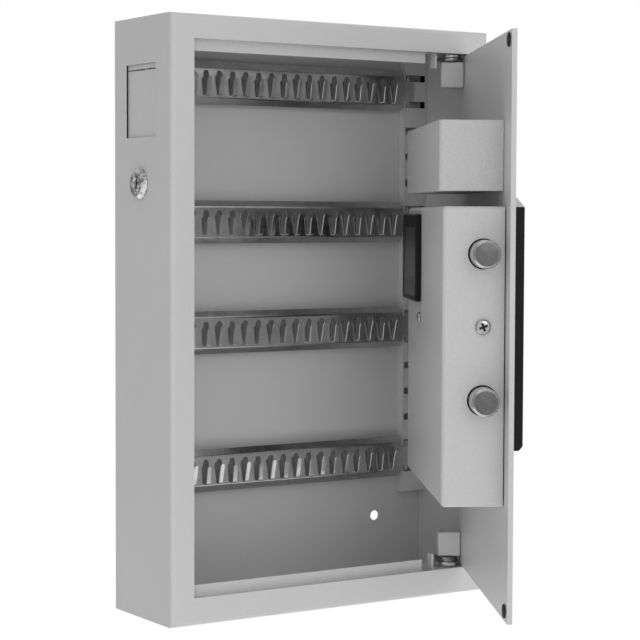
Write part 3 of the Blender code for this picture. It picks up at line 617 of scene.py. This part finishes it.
def rounded(obj, low, high, radius, chosen):
    """Trims the object to a box a hair inside its own, with the chosen edges of that box rounded."""
    hair = Vector((0.00001, 0.00001, 0.00001))
    shape = box(low + hair, high - hair)
    folds = [edge for edge in shape.edges if chosen(edge.verts[0].co, edge.verts[1].co)]
    bmesh.ops.bevel(shape, geom=folds, offset=radius, segments=8, profile=0.5, affect="EDGES")
    boolean(obj, shape, "INTERSECT")
    level(obj)


def body_shell():
    """The folded body: round front folds, and painted shade on the cut edges round the flap's opening."""
    low, high = span("cabinet_body")
    shell = copied("cabinet_body", PAINT)
    front = low.y + 0.001

    def front_fold(start, end):
        return start.y < front and end.y < front

    def cut_edge(centre, normal):
        faces_in = centre.x < SHEET and abs(normal.x) < 0.3 and min(normal.y, normal.z) < -0.5
        return faces_in and FLAP_HATCH[0] < centre.z < FLAP_HATCH[1]

    rounded(shell, low, high, FOLD_RADIUS, front_fold)
    # The opening's cut edges get near-black steel: painted shade of the gap beside the flap
    second_finish(shell, PAINTED_SHADE_STEEL, cut_edge)


def drop_flap():
    """The flap, its rear edge cut back so that there is a clear gap beside it."""
    low, high = span("drop_flap")
    flap = copied("drop_flap", PAINT, 0.0004, 3)
    edge = Vector((low.x - 0.001, high.y - 0.0009, low.z - 0.001))
    cut(flap, box(edge, (low.x + 0.0022, high.y + 0.001, high.z + 0.001)))


def upright(node):
    """A slotted rail, with painted shade inside its slots and behind its face."""
    rail = copied(node, PAINT)
    xs = [vertex.co.x for vertex in rail.data.vertices]
    face = min(vertex.co.y for vertex in rail.data.vertices) + 0.0004
    left, right = min(xs) + 0.0004, max(xs) - 0.0004
    # Faces inside the channel get near-black steel: painted shade seen through the slots
    second_finish(rail, PAINTED_SHADE_STEEL, lambda centre, normal: centre.y > face and left < centre.x < right)


def cabinet():
    """The fixed sheet metal, with the flap in the left wall."""
    body_shell()
    copied("back_panel", PAINT)
    brackets = ("hinge_plate_upper", "hinge_plate_lower", "flap_bracket")
    for name in ("door_stop_top", "door_stop_bottom", *brackets):
        copied(name, PAINT, 0.0004, 3)
    drop_flap()
    for name in ("upright_left", "upright_right"):
        upright(name)


def hinge_pin(node, up):
    """A headed pin. Its head is at its top, or at its bottom where up is false."""
    low, high = span(node)
    centre = (low + high) / 2
    length = high.z - low.z
    head = (high.x - low.x) / 2
    profile = (
        (0, 0),
        (PIN_RADIUS - 0.0006, 0),
        (PIN_RADIUS, 0.0006),
        (PIN_RADIUS, length - PIN_HEAD),
        (head, length - PIN_HEAD),
        (head, length - 0.0006),
        (head - 0.0008, length),
        (0, length),
    )
    start = (centre.x, centre.y, low.z if up else high.z)
    turned(node + "_turned", start, "Z" if up else "-Z", profile, HOME, "cabinet", TURNED, (node,))
    return centre


def hinge_washers(node, axis, up):
    """The two washers round a pin. The one nearer the cabinet's middle is given a darker steel, painted shade."""
    low, high = span(node)
    radius = (high.x - low.x) / 2
    thick = (high.z - low.z - WASHER_GAP) / 2
    bore = WASHER_BORE
    for index in range(2):
        outer = radius - index * 0.0008
        profile = ((bore, 0), (outer, 0), (outer, thick), (bore, thick), (bore, 0))
        start = (axis.x, axis.y, low.z + index * (thick + WASHER_GAP))
        # The washer nearer the middle takes the darker steel: painted shade
        finish = SHADED_WASHER_STEEL if index == (0 if up else 1) else TURNED
        nodes = (node,) if index == 0 else ()
        turned(f"{node}_{index + 1}", start, "Z", profile, HOME, "cabinet", finish, nodes, 0.0003)


def hinge(which, up):
    """One hinge: its pin and the washers round it."""
    axis = hinge_pin("hinge_pin_" + which, up)
    hinge_washers("hinge_washer_" + which, axis, up)


def bar_profile(middle, face):
    """The key bar's section: a flat face whose edges fold back into sloping flanges."""
    back = face + BAR_SHEET
    deep = face + BAR_DEPTH
    half = BAR_HALF
    outer = [
        (deep, middle - half - BAR_SLOPE),
        (face, middle - half),
        (face, middle + half),
        (deep, middle + half + BAR_SLOPE),
    ]
    rise = BAR_SHEET * 0.45
    inner = [
        (deep, middle + half + BAR_SLOPE - 2 * rise),
        (back, middle + half - rise),
        (back, middle - half + rise),
        (deep, middle - half - BAR_SLOPE + 2 * rise),
    ]
    front = [tuple(point) for point in softened(outer, 0.0012, 4)]
    rear = [tuple(point) for point in softened(inner, 0.0008, 4)]
    return front + rear


def arch_hole(x, root, face, shape):
    """A hook's hole: square at its foot and round at its top."""
    half = HOLE_WIDTH / 2 + 0.0005
    middle = x - 0.0005
    shoulder = root + HOLE_HEIGHT - half
    outline = [(middle - half, root), (middle + half, root), *arc((middle, shoulder), half, 0, 180, 10)]
    extrusion(outline, "Y", face - 0.001, face + 0.003, shape)


def hook_path(face, root, foot, reach, height):
    """A hook's centreline in the (Y, Z) plane: out from the hole's foot, then up to a leaning tip."""
    start = Vector((face + BAR_SHEET / 2, root - 0.0004))
    elbow = Vector((face - foot, root + 0.0002))
    tip = Vector((face - reach + HOOK_SHEET / 2, root + height))
    first = Vector((face - foot * 0.35, root - 0.0002))
    points = [start, first]
    points += softened([first, elbow, tip], 0.0022, 6)[1:-1]
    last = points[-1]
    points += [last.lerp(tip, share) for share in (0.3, 0.6, 0.8, 0.9, 0.96, 1.0)]
    return points


def hook(x, path, shape):
    """Adds a flat tongue with softened edges and a rounded tip, swept along its path."""
    rings = []
    for index, point in enumerate(path):
        before, after = path[max(index - 1, 0)], path[min(index + 1, len(path) - 1)]
        along = (after - before).normalized()
        normal = Vector((-along.y, along.x))
        remaining = (path[-1] - point).length
        half = HOOK_WIDTH / 2
        if remaining < half:
            half *= math.sqrt(max(1 - (1 - remaining / half) ** 2, 0.12))
        thick = HOOK_SHEET / 2
        soft = min(0.00028, half * 0.4)
        ring = []
        for side_x, side_n in ((1, 1), (-1, 1), (-1, -1), (1, -1)):
            corners = ((half, thick - soft), (half - soft, thick))
            if side_x * side_n < 0:
                corners = corners[::-1]
            for across, out in corners:
                place = point + normal * out * side_n
                ring.append(shape.verts.new((x + across * side_x, place.x, place.y)))
        rings.append(ring)
    loft(shape, rings)


def bar_tabs(bar, low, high, middle):
    """The stepped tab at each end, with two prongs that hang in the upright's slots."""
    plate_back = low.y + 0.0047
    plate_front = plate_back - BAR_SHEET
    reach = SLOT_PITCH / 2 + 0.0018
    shape = bmesh.new()
    for side, tip in ((-1, low.x), (1, high.x)):
        end = tip - side * TAB_LENGTH
        near = end - side * BAR_SHEET
        xs, web = sorted((near, tip)), sorted((near, end))
        prong = sorted((end + side * PRONG_START, end + side * (PRONG_START + PRONG_WIDTH)))
        box((xs[0], plate_front, middle - TAB_HALF), (xs[1], plate_back, middle + TAB_HALF), shape)
        box((web[0], low.y + 0.0002, middle - TAB_HALF), (web[1], plate_back, middle + TAB_HALF), shape)
        box((prong[0], plate_front, middle - reach), (prong[1], plate_back, middle + reach), shape)
        for offset in (-SLOT_PITCH / 2, SLOT_PITCH / 2):
            foot = middle + offset - 0.0018
            box((prong[0], plate_back - 0.0004, foot), (prong[1], plate_back + 0.0033, foot + 0.0036), shape)
    join(bar, shape)


def key_bar(node):
    """One key bar: a folded strip with stepped ends and arched holes, and the hooks bent out of them."""
    low, high = span(node)
    middle = (low.z + high.z) / 2
    face = high.y - BAR_REACH
    shape = extrusion(bar_profile(middle, face), "X", low.x + TAB_LENGTH, high.x - TAB_LENGTH)
    bar = piece(node + "_folded", shape, HOME, "cabinet", ZINC, (node,), 30)
    bar_tabs(bar, Vector((low.x, face, low.z)), high, middle)
    root = middle - HOOK_ROOT
    holes = bmesh.new()
    hooks = bmesh.new()
    centre = (low.x + high.x) / 2
    for index in range(HOOK_COUNT):
        x = centre + (index - (HOOK_COUNT - 1) / 2) * HOOK_PITCH
        arch_hole(x, root, face, holes)
        sizes = HOOK_SHORT if index % 2 else HOOK_LONG
        hook(x, hook_path(face, root, *sizes), hooks)
    cut(bar, holes)
    soften(bar, 0.0002)
    # The bar's back faces get near-black steel: painted shade seen through the holes
    second_finish(bar, PAINTED_SHADE_STEEL, lambda centre, normal: normal.y > 0.3)
    bmesh.ops.recalc_face_normals(hooks, faces=hooks.faces[:])
    piece(node + "_hooks", hooks, HOME, "cabinet", ZINC, (), 30)


def flap_pin():
    """The pin that the flap tilts on, with the spring round it."""
    node = "flap_pin"
    low, high = span(node)
    centre = (low + high) / 2
    length = high.y - low.y
    profile = (
        (0, 0),
        (0.0012, 0),
        (0.0015, 0.0003),
        (0.0015, length - 0.0003),
        (0.0012, length),
        (0, length),
    )
    start = (centre.x, low.y, centre.z)
    turned(node + "_turned", start, "Y", profile, HOME, "cabinet", TURNED, (node,), 0.0001, 32)
    flap_spring(centre)


def flap_spring(centre):
    """A torsion spring round the pin: a close coil with a straight leg at each end."""
    turns, per_turn, radius, pitch = 6, 40, 0.0028, 0.0012
    low, high = span("flap_spring")
    width = turns * pitch
    start = (low.y + high.y) / 2 - width / 2
    points = [
        (low.x + 0.0006, start - 0.0002, low.z + 0.0004),
        (centre.x - radius + 0.0001, start - 0.0001, centre.z - 0.004),
    ]
    for step in range(turns * per_turn + 1):
        angle = math.pi + step * 2 * math.pi / per_turn
        across = start + step * pitch / per_turn
        points.append((centre.x + radius * math.cos(angle), across, centre.z + radius * math.sin(angle)))
    points.append((high.x - 0.0005, points[-1][1] + 0.0002, high.z - 0.0005))
    curve = bpy.data.curves.new("flap_spring_wire", "CURVE")
    curve.dimensions = "3D"
    curve.bevel_depth = 0.00042
    curve.bevel_resolution = 3
    curve.use_fill_caps = True
    spline = curve.splines.new("POLY")
    spline.points.add(len(points) - 1)
    for target, point in zip(spline.points, points):
        target.co = (*point, 1)
    spring = bpy.data.objects.new("flap_spring_coil", curve_mesh(curve))
    settled(spring, HOME, "flap", STEEL, ("flap_spring",), 50)


def lock_collar(axis_y, axis_z):
    """The lock's dished chrome collar, with the threaded barrel behind it."""
    low, high = span("lock_housing")
    proud = -low.x
    depth = high.x - low.x
    rim = (high.y - low.y) / 2
    thread = []
    height = proud + 0.001
    while height < depth - 0.0012:
        thread += [(0.0093, height), (0.0087, height + 0.0004), (0.0093, height + 0.0008)]
        height += 0.0009
    profile = [
        (LOCK_BORE, 0.0012),
        (LOCK_BORE + 0.0004, 0.0006),
        (0.0074, 0.0003),
        (0.0090, 0.0000),
        (0.0100, 0.0003),
        (0.0117, 0.0022),
        (rim - 0.0002, proud - 0.0012),
        (rim, proud - 0.0007),
        (rim, proud),
        (0.0093, proud),
        *thread,
        (0.0090, depth),
        (LOCK_BORE, depth),
        (LOCK_BORE, 0.0012),
    ]
    start = (low.x, axis_y, axis_z)
    turned("lock_collar", start, "X", profile, HOME, "cabinet", CHROME, ("lock_housing",), 0.0001)


def lock_plug(axis_y, axis_z):
    """The plug that turns in the collar, with its keyway."""
    node = "lock_plug"
    low, high = span(node)
    length = high.x - low.x
    profile = (
        (0, 0.0006),
        (0.0040, 0.0006),
        (0.0046, 0),
        (0.0055, 0),
        (0.0059, 0.0004),
        (0.0059, length),
        (0.0020, length),
        (0.0020, length - 0.0040),
        (0, length - 0.0045),
    )
    start = (low.x, axis_y, axis_z)
    plug = turned(node + "_turned", start, "X", profile, HOME, "lock_core", CHROME, (node,), 0.00012)
    cut(plug, box((-0.0041, -0.0009, -0.001), (0.0041, 0.0009, 0.0060)))
    cut(plug, box((-0.0016, -0.0015, -0.001), (0.0008, 0.0008, 0.0060)))


def cam_lock():
    """The lock below the flap: collar, nut, keyed plug, cranked cam and its screw."""
    low, high = span("lock_housing")
    axis = (low.y + high.y) / 2, (low.z + high.z) / 2
    lock_collar(*axis)
    copied("lock_nut", STEEL, 0.0005, 3)
    lock_plug(*axis)
    copied("lock_cam", STEEL, 0.0005, 3)
    cross_screw("cam_screw", "X", HOME, "lock_core")


def screw_profile(length, radius, head, shank):
    """A threaded shank, from its tip up, under a pan head."""
    profile = [(0, 0), (shank * 0.7, 0), (shank, shank * 0.5)]
    height = shank * 0.6
    while height < length - head - 0.0010:
        profile += [(shank, height), (shank * 0.86, height + 0.00035)]
        height += 0.0007
    return profile + [
        (shank, length - head),
        (radius - 0.0003, length - head),
        (radius, length - head + 0.0004),
        (radius * 0.97, length - head * 0.45),
        (radius * 0.82, length - head * 0.16),
        (radius * 0.52, length - head * 0.03),
        (0, length),
    ]


def cross_recess(screw, length, radius, head):
    """Cuts a tapering cross into a screw's head and paints shade into it."""
    arm, half = radius * 0.62, radius * 0.15
    for turn in (math.radians(20), math.radians(110)):
        outline = (
            (-arm, length + 0.001),
            (arm, length + 0.001),
            (arm * 0.72, length - head * 0.72),
            (-arm * 0.72, length - head * 0.72),
        )
        slot = extrusion(outline, "Y", -half, half)
        bmesh.ops.rotate(slot, cent=(0, 0, 0), matrix=Matrix.Rotation(turn, 3, "Z"), verts=slot.verts)
        cut(screw, slot)

    def sunk(centre, normal):
        deep = length - head * 0.9 < centre.z < length - head * 0.12
        return deep and math.hypot(centre.x, centre.y) < arm

    # The cross's sunk faces get near-black steel: painted shade in the recess
    second_finish(screw, PAINTED_SHADE_STEEL, sunk)
    screw.data.shade_smooth()
    screw.data.set_sharp_from_angle(angle=math.radians(32))


def cross_screw(node, axis, place, body):
    """A cross-recessed screw in a CAD screw's box, its head at the end that the axis points to."""
    low, high = span(node)
    index = "XY".index(axis[-1])
    radius = (high[1 - index] - low[1 - index]) / 2
    length = high[index] - low[index]
    start = (low + high) / 2
    start[index] = high[index] if axis.startswith("-") else low[index]
    head, shank = SCREWS[node]
    profile = screw_profile(length, radius, head, shank)
    screw = turned(node + "_cross", start, axis, profile, place, body, SCREW, (node,), 0.00015, 48)
    cross_recess(screw, length, radius, head)


# ---------------------------------------------------------------- door


def key_tray():
    """The tray above the lock case, its upright folds rounded on the side away from the door."""
    low, high = span("key_tray")
    tray = copied("key_tray", TRAY_PAINT)
    back = high.y - 0.001

    def upright_fold(start, end):
        return start.y > back and end.y > back and abs(start.x - end.x) < 0.001

    rounded(tray, low, high, TRAY_FOLD, upright_fold)


def door():
    """The door panel and all that is fixed to its inner face."""
    copied("door_panel", PAINT, 0.0004, 3, outer_fold(*span("door_panel")), 0.0009)
    for name in ("hinge_block_upper", "hinge_block_lower"):
        copied(name, PAINT, 0.0003, 3)
    for name in ("door_bumper_upper", "door_bumper_lower"):
        bumper(name)
    lock_case()
    cross_screw("case_screw", "-X", DOOR, "door")
    cross_screw("cover_screw", "Y", DOOR, "door")
    key_tray()
    for name in ("bolt_upper", "bolt_lower"):
        bolt(name)
    copied("bolt_guide", BLACK)
    copied("bolt_carriage", ZINC, 0.0002)
    copied("drive_pinion", BRASS, 0.0001)
    copied("guide_plate", STEEL, 0.0002)
    copied("motor_bracket", ZINC)
    copied("gearbox", BRASS, 0.0004)
    motor()
    circuit_board()
    battery_box()


def lock_case():
    """The folded lock case, with the bolts', batteries' and screws' holes."""
    low, high = span("lock_case")
    edge = Vector((SHEET, 0, SHEET))
    shape = box(low + Vector((0, 0.0005, 0)), high)
    case = piece("lock_case_folded", shape, DOOR, "door", PAINT, ("lock_case",))
    soften(case, 0.0004, 5, lambda middle, edge: middle.y > low.y + 0.001, CASE_FOLD)
    cut(case, box(low + edge - Vector((0, 0.002, 0)), high - edge - Vector((0, SHEET, 0))))
    tray_low, tray_high = span("battery_tray")
    room = Vector((0.0005, 0, 0.0005))
    back = Vector((0, 0.004, 0))
    cut(case, box(tray_low - room, tray_high + room + back))
    for name in ("bolt_upper", "bolt_lower"):
        bolt_low, bolt_high = span(name)
        centre = (bolt_low + bolt_high) / 2
        side_hole(case, (low.x - 0.002, centre.y, centre.z), "X", BOLT_HOLE)
    for name, axis, radius in (("case_screw", "X", 0.0028), ("cover_screw", "Y", 0.0024)):
        screw_low, screw_high = span(name)
        start = (screw_low + screw_high) / 2
        start["XY".index(axis)] = (low.x if axis == "X" else high.y - SHEET) - 0.002
        side_hole(case, start, axis, radius)
    level(case)


def side_hole(obj, start, axis, radius):
    """Drills a round hole through one side of a folded case, measured from the cabinet's corner."""
    drill = lathe(((0, 0), (radius, 0), (radius, 0.006), (0, 0.006)))
    place = Matrix.Translation(Vector(start)) @ axis_turn(axis)
    bmesh.ops.transform(drill, matrix=place, verts=drill.verts)
    cut(obj, drill)


def bumper(node):
    """A domed rubber bumper that the door shuts against."""
    low, high = span(node)
    centre = (low + high) / 2
    radius, thick = (high.x - low.x) / 2, high.y - low.y
    profile = (
        (0, 0),
        (radius, 0),
        (radius, thick * 0.45),
        (radius * 0.86, thick * 0.8),
        (radius * 0.5, thick * 0.97),
        (0, thick),
    )
    start = (centre.x, low.y, centre.z)
    turned(node + "_dome", start, "Y", profile, DOOR, "door", RUBBER, (node,), 0.0004)


def bolt(node):
    """A round bolt: a faced, chamfered tip and a groove near its back end."""
    low, high = span(node)
    centre = (low + high) / 2
    radius, length = (high.y - low.y) / 2, high.x - low.x
    profile = (
        (0, 0),
        (radius - 0.0018, 0),
        (radius, 0.0018),
        (radius, length - 0.006),
        (radius - 0.001, length - 0.0055),
        (radius - 0.001, length - 0.0035),
        (radius, length - 0.003),
        (radius, length - 0.0006),
        (radius - 0.0006, length),
        (0, length),
    )
    start = (low.x, centre.y, centre.z)
    made = turned(node + "_turned", start, "X", profile, DOOR, "bolt_work", BOLT_SIDE, (node,), 0.0002, 96)
    second_finish(made, BOLT_FACE, lambda centre, normal: centre.z < 0.00004)


def motor():
    """The motor's can, with a groove near its end and a raised boss."""
    low, high = span("lock_motor")
    centre = (low + high) / 2
    radius, length = (high.x - low.x) / 2, high.y - low.y
    profile = (
        (0, 0),
        (radius, 0),
        (radius, length - 0.0045),
        (radius - 0.0004, length - 0.0041),
        (radius, length - 0.0037),
        (radius, length - 0.0018),
        (radius - 0.0008, length - 0.0013),
        (0.0020, length - 0.0012),
        (0.0020, length),
        (0, length),
    )
    start = (centre.x, low.y, centre.z)
    turned("lock_motor_can", start, "Y", profile, DOOR, "door", STEEL, ("lock_motor",), 0.0002)


def circuit_board():
    """The lock's circuit board and its pinned chips."""
    copied("circuit_board", BOARD, 0.0002)
    low = span("circuit_board")[0]
    copper = low.y + 0.0123
    chips = bmesh.new()
    for x, z, wide, tall in CHIPS:
        foot = (low.x + x, copper + 0.0001, low.z + z)
        box(foot, (foot[0] + wide, copper + 0.0016, foot[2] + tall), chips)
        for pin in range(4):
            across = foot[0] + wide * (pin + 0.5) / 4
            start = (across - 0.0003, copper, foot[2] - 0.0010)
            box(start, (across + 0.0003, copper + 0.0007, foot[2]), chips)
    made = piece("circuit_board_chips", chips, DOOR, "door", CHIP, (), 30)
    soften(made, 0.00012)


def battery_box():
    """The battery tray and its cover, which has a sunk, glossier panel with a ribbed grip; panel and grip are a
    lighter black that paints part of their sheen.
    """
    copied("battery_tray", BLACK, 0.0004)
    low, high = span("battery_cover")
    cover = copied("battery_cover", BLACK)
    floor = high.y - 0.0005
    panel = (low.x + 0.006, floor, low.z + 0.004), (high.x - 0.006, high.y + 0.001, high.z - 0.011)
    cut(cover, box(*panel))
    # The sunk panel gets the glossier, lighter black: real gloss and painted sheen
    second_finish(cover, GLOSSY_BLACK_WITH_PAINTED_SHEEN, lambda centre, normal: abs(centre.y - floor) < 0.0001 and normal.y > 0.9)
    ribs = bmesh.new()
    for index in range(5):
        z = low.z + 0.010 + index * 0.0022
        box((low.x + 0.022, floor - 0.0003, z), (high.x - 0.022, high.y, z + 0.0010), ribs)
    made = piece("battery_cover_grip", ribs, DOOR, "cover", GLOSSY_BLACK_WITH_PAINTED_SHEEN, (), 30)
    soften(made, 0.00018)


# ---------------------------------------------------------------- keypad


def glyph(name, text, place, body):
    """A printed mark that lies on the XY plane of its place."""
    curve = bpy.data.curves.new(name, "FONT")
    curve.body = text
    curve.size = MARK_SIZE
    curve.align_x = "CENTER"
    curve.align_y = "CENTER"
    curve.extrude = 0.00004
    settled(bpy.data.objects.new(name, curve_mesh(curve)), place, body, PRINT, ())


def keypad_housing():
    """The keypad's housing, with a painted sheen of light grey on the slope at its upper end."""
    housing = copied("keypad_housing", BLACK)
    split = span("keypad_housing")[1].z - PAD_SLOPE
    shape = bmesh.new()
    shape.from_mesh(housing.data)
    whole = shape.verts[:] + shape.edges[:] + shape.faces[:]
    bmesh.ops.bisect_plane(shape, geom=whole, plane_co=(0, 0, split), plane_no=(0, 0, 1))
    shape.to_mesh(housing.data)
    shape.free()
    # Faces above the split get light grey: painted sheen on the slope
    second_finish(housing, SLOPE_SHEEN_GREY, lambda centre, normal: centre.z > split)
    level(housing, 25)


def keys():
    """The keys, each with its printed mark."""
    for key, text in KEY_MARKS.items():
        node = "key_" + key
        low, high = span(node)
        centre = (low + high) / 2
        key_cap(node, low, high)
        top = DOOR @ Matrix.Translation((centre.x, low.y + 0.00022, centre.z))
        glyph(node + "_mark", text, top @ Matrix.Rotation(math.pi / 2, 4, "X"), BODY_OF[node])


def status_lenses():
    """Three small domed lenses above the keys."""
    low, high = span("keypad_housing")
    middle = (low.x + high.x) / 2
    profile = (
        (0, -0.0008),
        (0.0016, -0.0008),
        (0.0016, 0.0000),
        (0.0012, 0.00035),
        (0.0006, 0.0004),
        (0, 0.0004),
    )
    for index, finish in enumerate(LENSES):
        start = (middle + (index - 1) * 0.012, low.y + 0.0004, high.z - 0.0165)
        name = f"status_lens_{index + 1}"
        turned(name, start, "-Y", profile, DOOR, "door", finish, (), 0.0001, 32)


def keypad():
    """The keypad on the outside of the door: housing, board, dished keys and status lenses."""
    keypad_housing()
    copied("keypad_board", BOARD, 0.0002)
    keys()
    status_lenses()


def key_cap(node, low, high):
    """A key with rounded corners and a shallow dish in its top."""
    centre = (low + high) / 2
    half_x, half_z = (high.x - low.x) / 2, (high.z - low.z) / 2
    layers = (
        (0.0, high.y),
        (0.0, low.y + 0.0006),
        (0.00025, low.y + 0.0002),
        (0.0007, low.y),
        (0.0030, low.y + 0.00015),
    )
    shape = bmesh.new()
    rings = []
    for inset, y in layers:
        radius = max(KEY_CORNER - inset, 0.0008)
        wide, tall = half_x - inset - radius, half_z - inset - radius
        outline = []
        for quarter, (side_x, side_z) in enumerate(((1, 1), (-1, 1), (-1, -1), (1, -1))):
            corner = (centre.x + side_x * wide, centre.z + side_z * tall)
            outline += arc(corner, radius, quarter * 90, quarter * 90 + 90, 6)
        rings.append([shape.verts.new((x, y, z)) for x, z in outline])
    loft(shape, rings)
    bmesh.ops.recalc_face_normals(shape, faces=shape.faces[:])
    piece(node + "_cap", shape, DOOR, BODY_OF[node], GREY_KEY, (node,), 50)


# ---------------------------------------------------------------- stage


def pale_floor():
    """A pale floor well below the cabinet."""
    shape = bmesh.new()
    bmesh.ops.create_grid(shape, x_segments=1, y_segments=1, size=1.3)
    mesh = bpy.data.meshes.new("floor")
    shape.to_mesh(mesh)
    shape.free()
    floor = bpy.data.objects.new("floor", mesh)
    floor.location = (0, 0, -0.9)
    bpy.context.scene.collection.objects.link(floor)
    made, tree, shader, place = blank("pale_floor")
    tinted(tree, shader, ranged(tree, noise(tree, place, 3.0), 0.93, 0.95))
    shader.inputs["Roughness"].default_value = 0.9
    shader.inputs["Emission Color"].default_value = (1, 1, 1, 1)
    shader.inputs["Emission Strength"].default_value = 0.30
    mesh.materials.append(made)


def surround():
    """A soft white surround, a little darker in front and darkest behind on the left."""
    world = bpy.data.worlds.new("studio")
    world.use_nodes = True
    tree = world.node_tree
    background = tree.nodes["Background"]
    direction = add(tree, "ShaderNodeTexCoord").outputs["Generated"]
    parts = add(tree, "ShaderNodeSeparateXYZ", {"Vector": direction}).outputs
    front = ranged(tree, parts["Y"], 0.77, 1.0, 0.0, 0.55)
    beside = add(tree, "ShaderNodeMath", {0: parts["Y"], 1: parts["X"]}, operation="SUBTRACT")
    shade = ranged(tree, beside.outputs[0], 1.0, 0.42, 0.6, 1.0)
    tree.links.new(times(tree, front, shade), background.inputs["Strength"])
    background.inputs["Color"].default_value = (1, 1, 1, 1)
    bpy.context.scene.world = world


def key_light():
    """One broad soft light, in front of the cabinet and above it."""
    area = bpy.data.lights.new("key_light", "AREA")
    area.shape = "RECTANGLE"
    area.size, area.size_y = 1.0, 0.8
    area.energy = 4.0
    light = bpy.data.objects.new("key_light", area)
    light.location = (-0.6, -2.5, 0.7)
    light.rotation_euler = (-light.location).to_track_quat("-Z", "Y").to_euler()
    bpy.context.scene.collection.objects.link(light)


def camera():
    """A long lens in the main view's place."""
    cos_yaw, sin_yaw = math.cos(CAMERA_YAW), math.sin(CAMERA_YAW)
    cos_pitch, sin_pitch = math.cos(CAMERA_PITCH), math.sin(CAMERA_PITCH)
    forward = Vector((sin_yaw * cos_pitch, cos_yaw * cos_pitch, sin_pitch))
    side = Vector((cos_yaw, -sin_yaw, 0))
    lift = side.cross(forward)
    right = side * math.cos(CAMERA_ROLL) + lift * math.sin(CAMERA_ROLL)
    up = lift * math.cos(CAMERA_ROLL) - side * math.sin(CAMERA_ROLL)
    data = bpy.data.cameras.new("camera")
    data.lens = CAMERA_LENS
    data.sensor_width = SENSOR_WIDTH
    data.clip_end = 50
    obj = bpy.data.objects.new("camera", data)
    turn = Matrix((right, up, -forward)).transposed().to_4x4()
    obj.matrix_world = Matrix.Translation(CAMERA_PLACE) @ turn
    bpy.context.scene.collection.objects.link(obj)
    bpy.context.scene.camera = obj


cabinet()
hinge("upper", True)
hinge("lower", False)
for number in range(1, 5):
    key_bar(f"key_bar_{number}")
flap_pin()
cam_lock()
door()
keypad()
pale_floor()
surround()
key_light()
camera()
bpy.context.scene.view_settings.view_transform = "Standard"
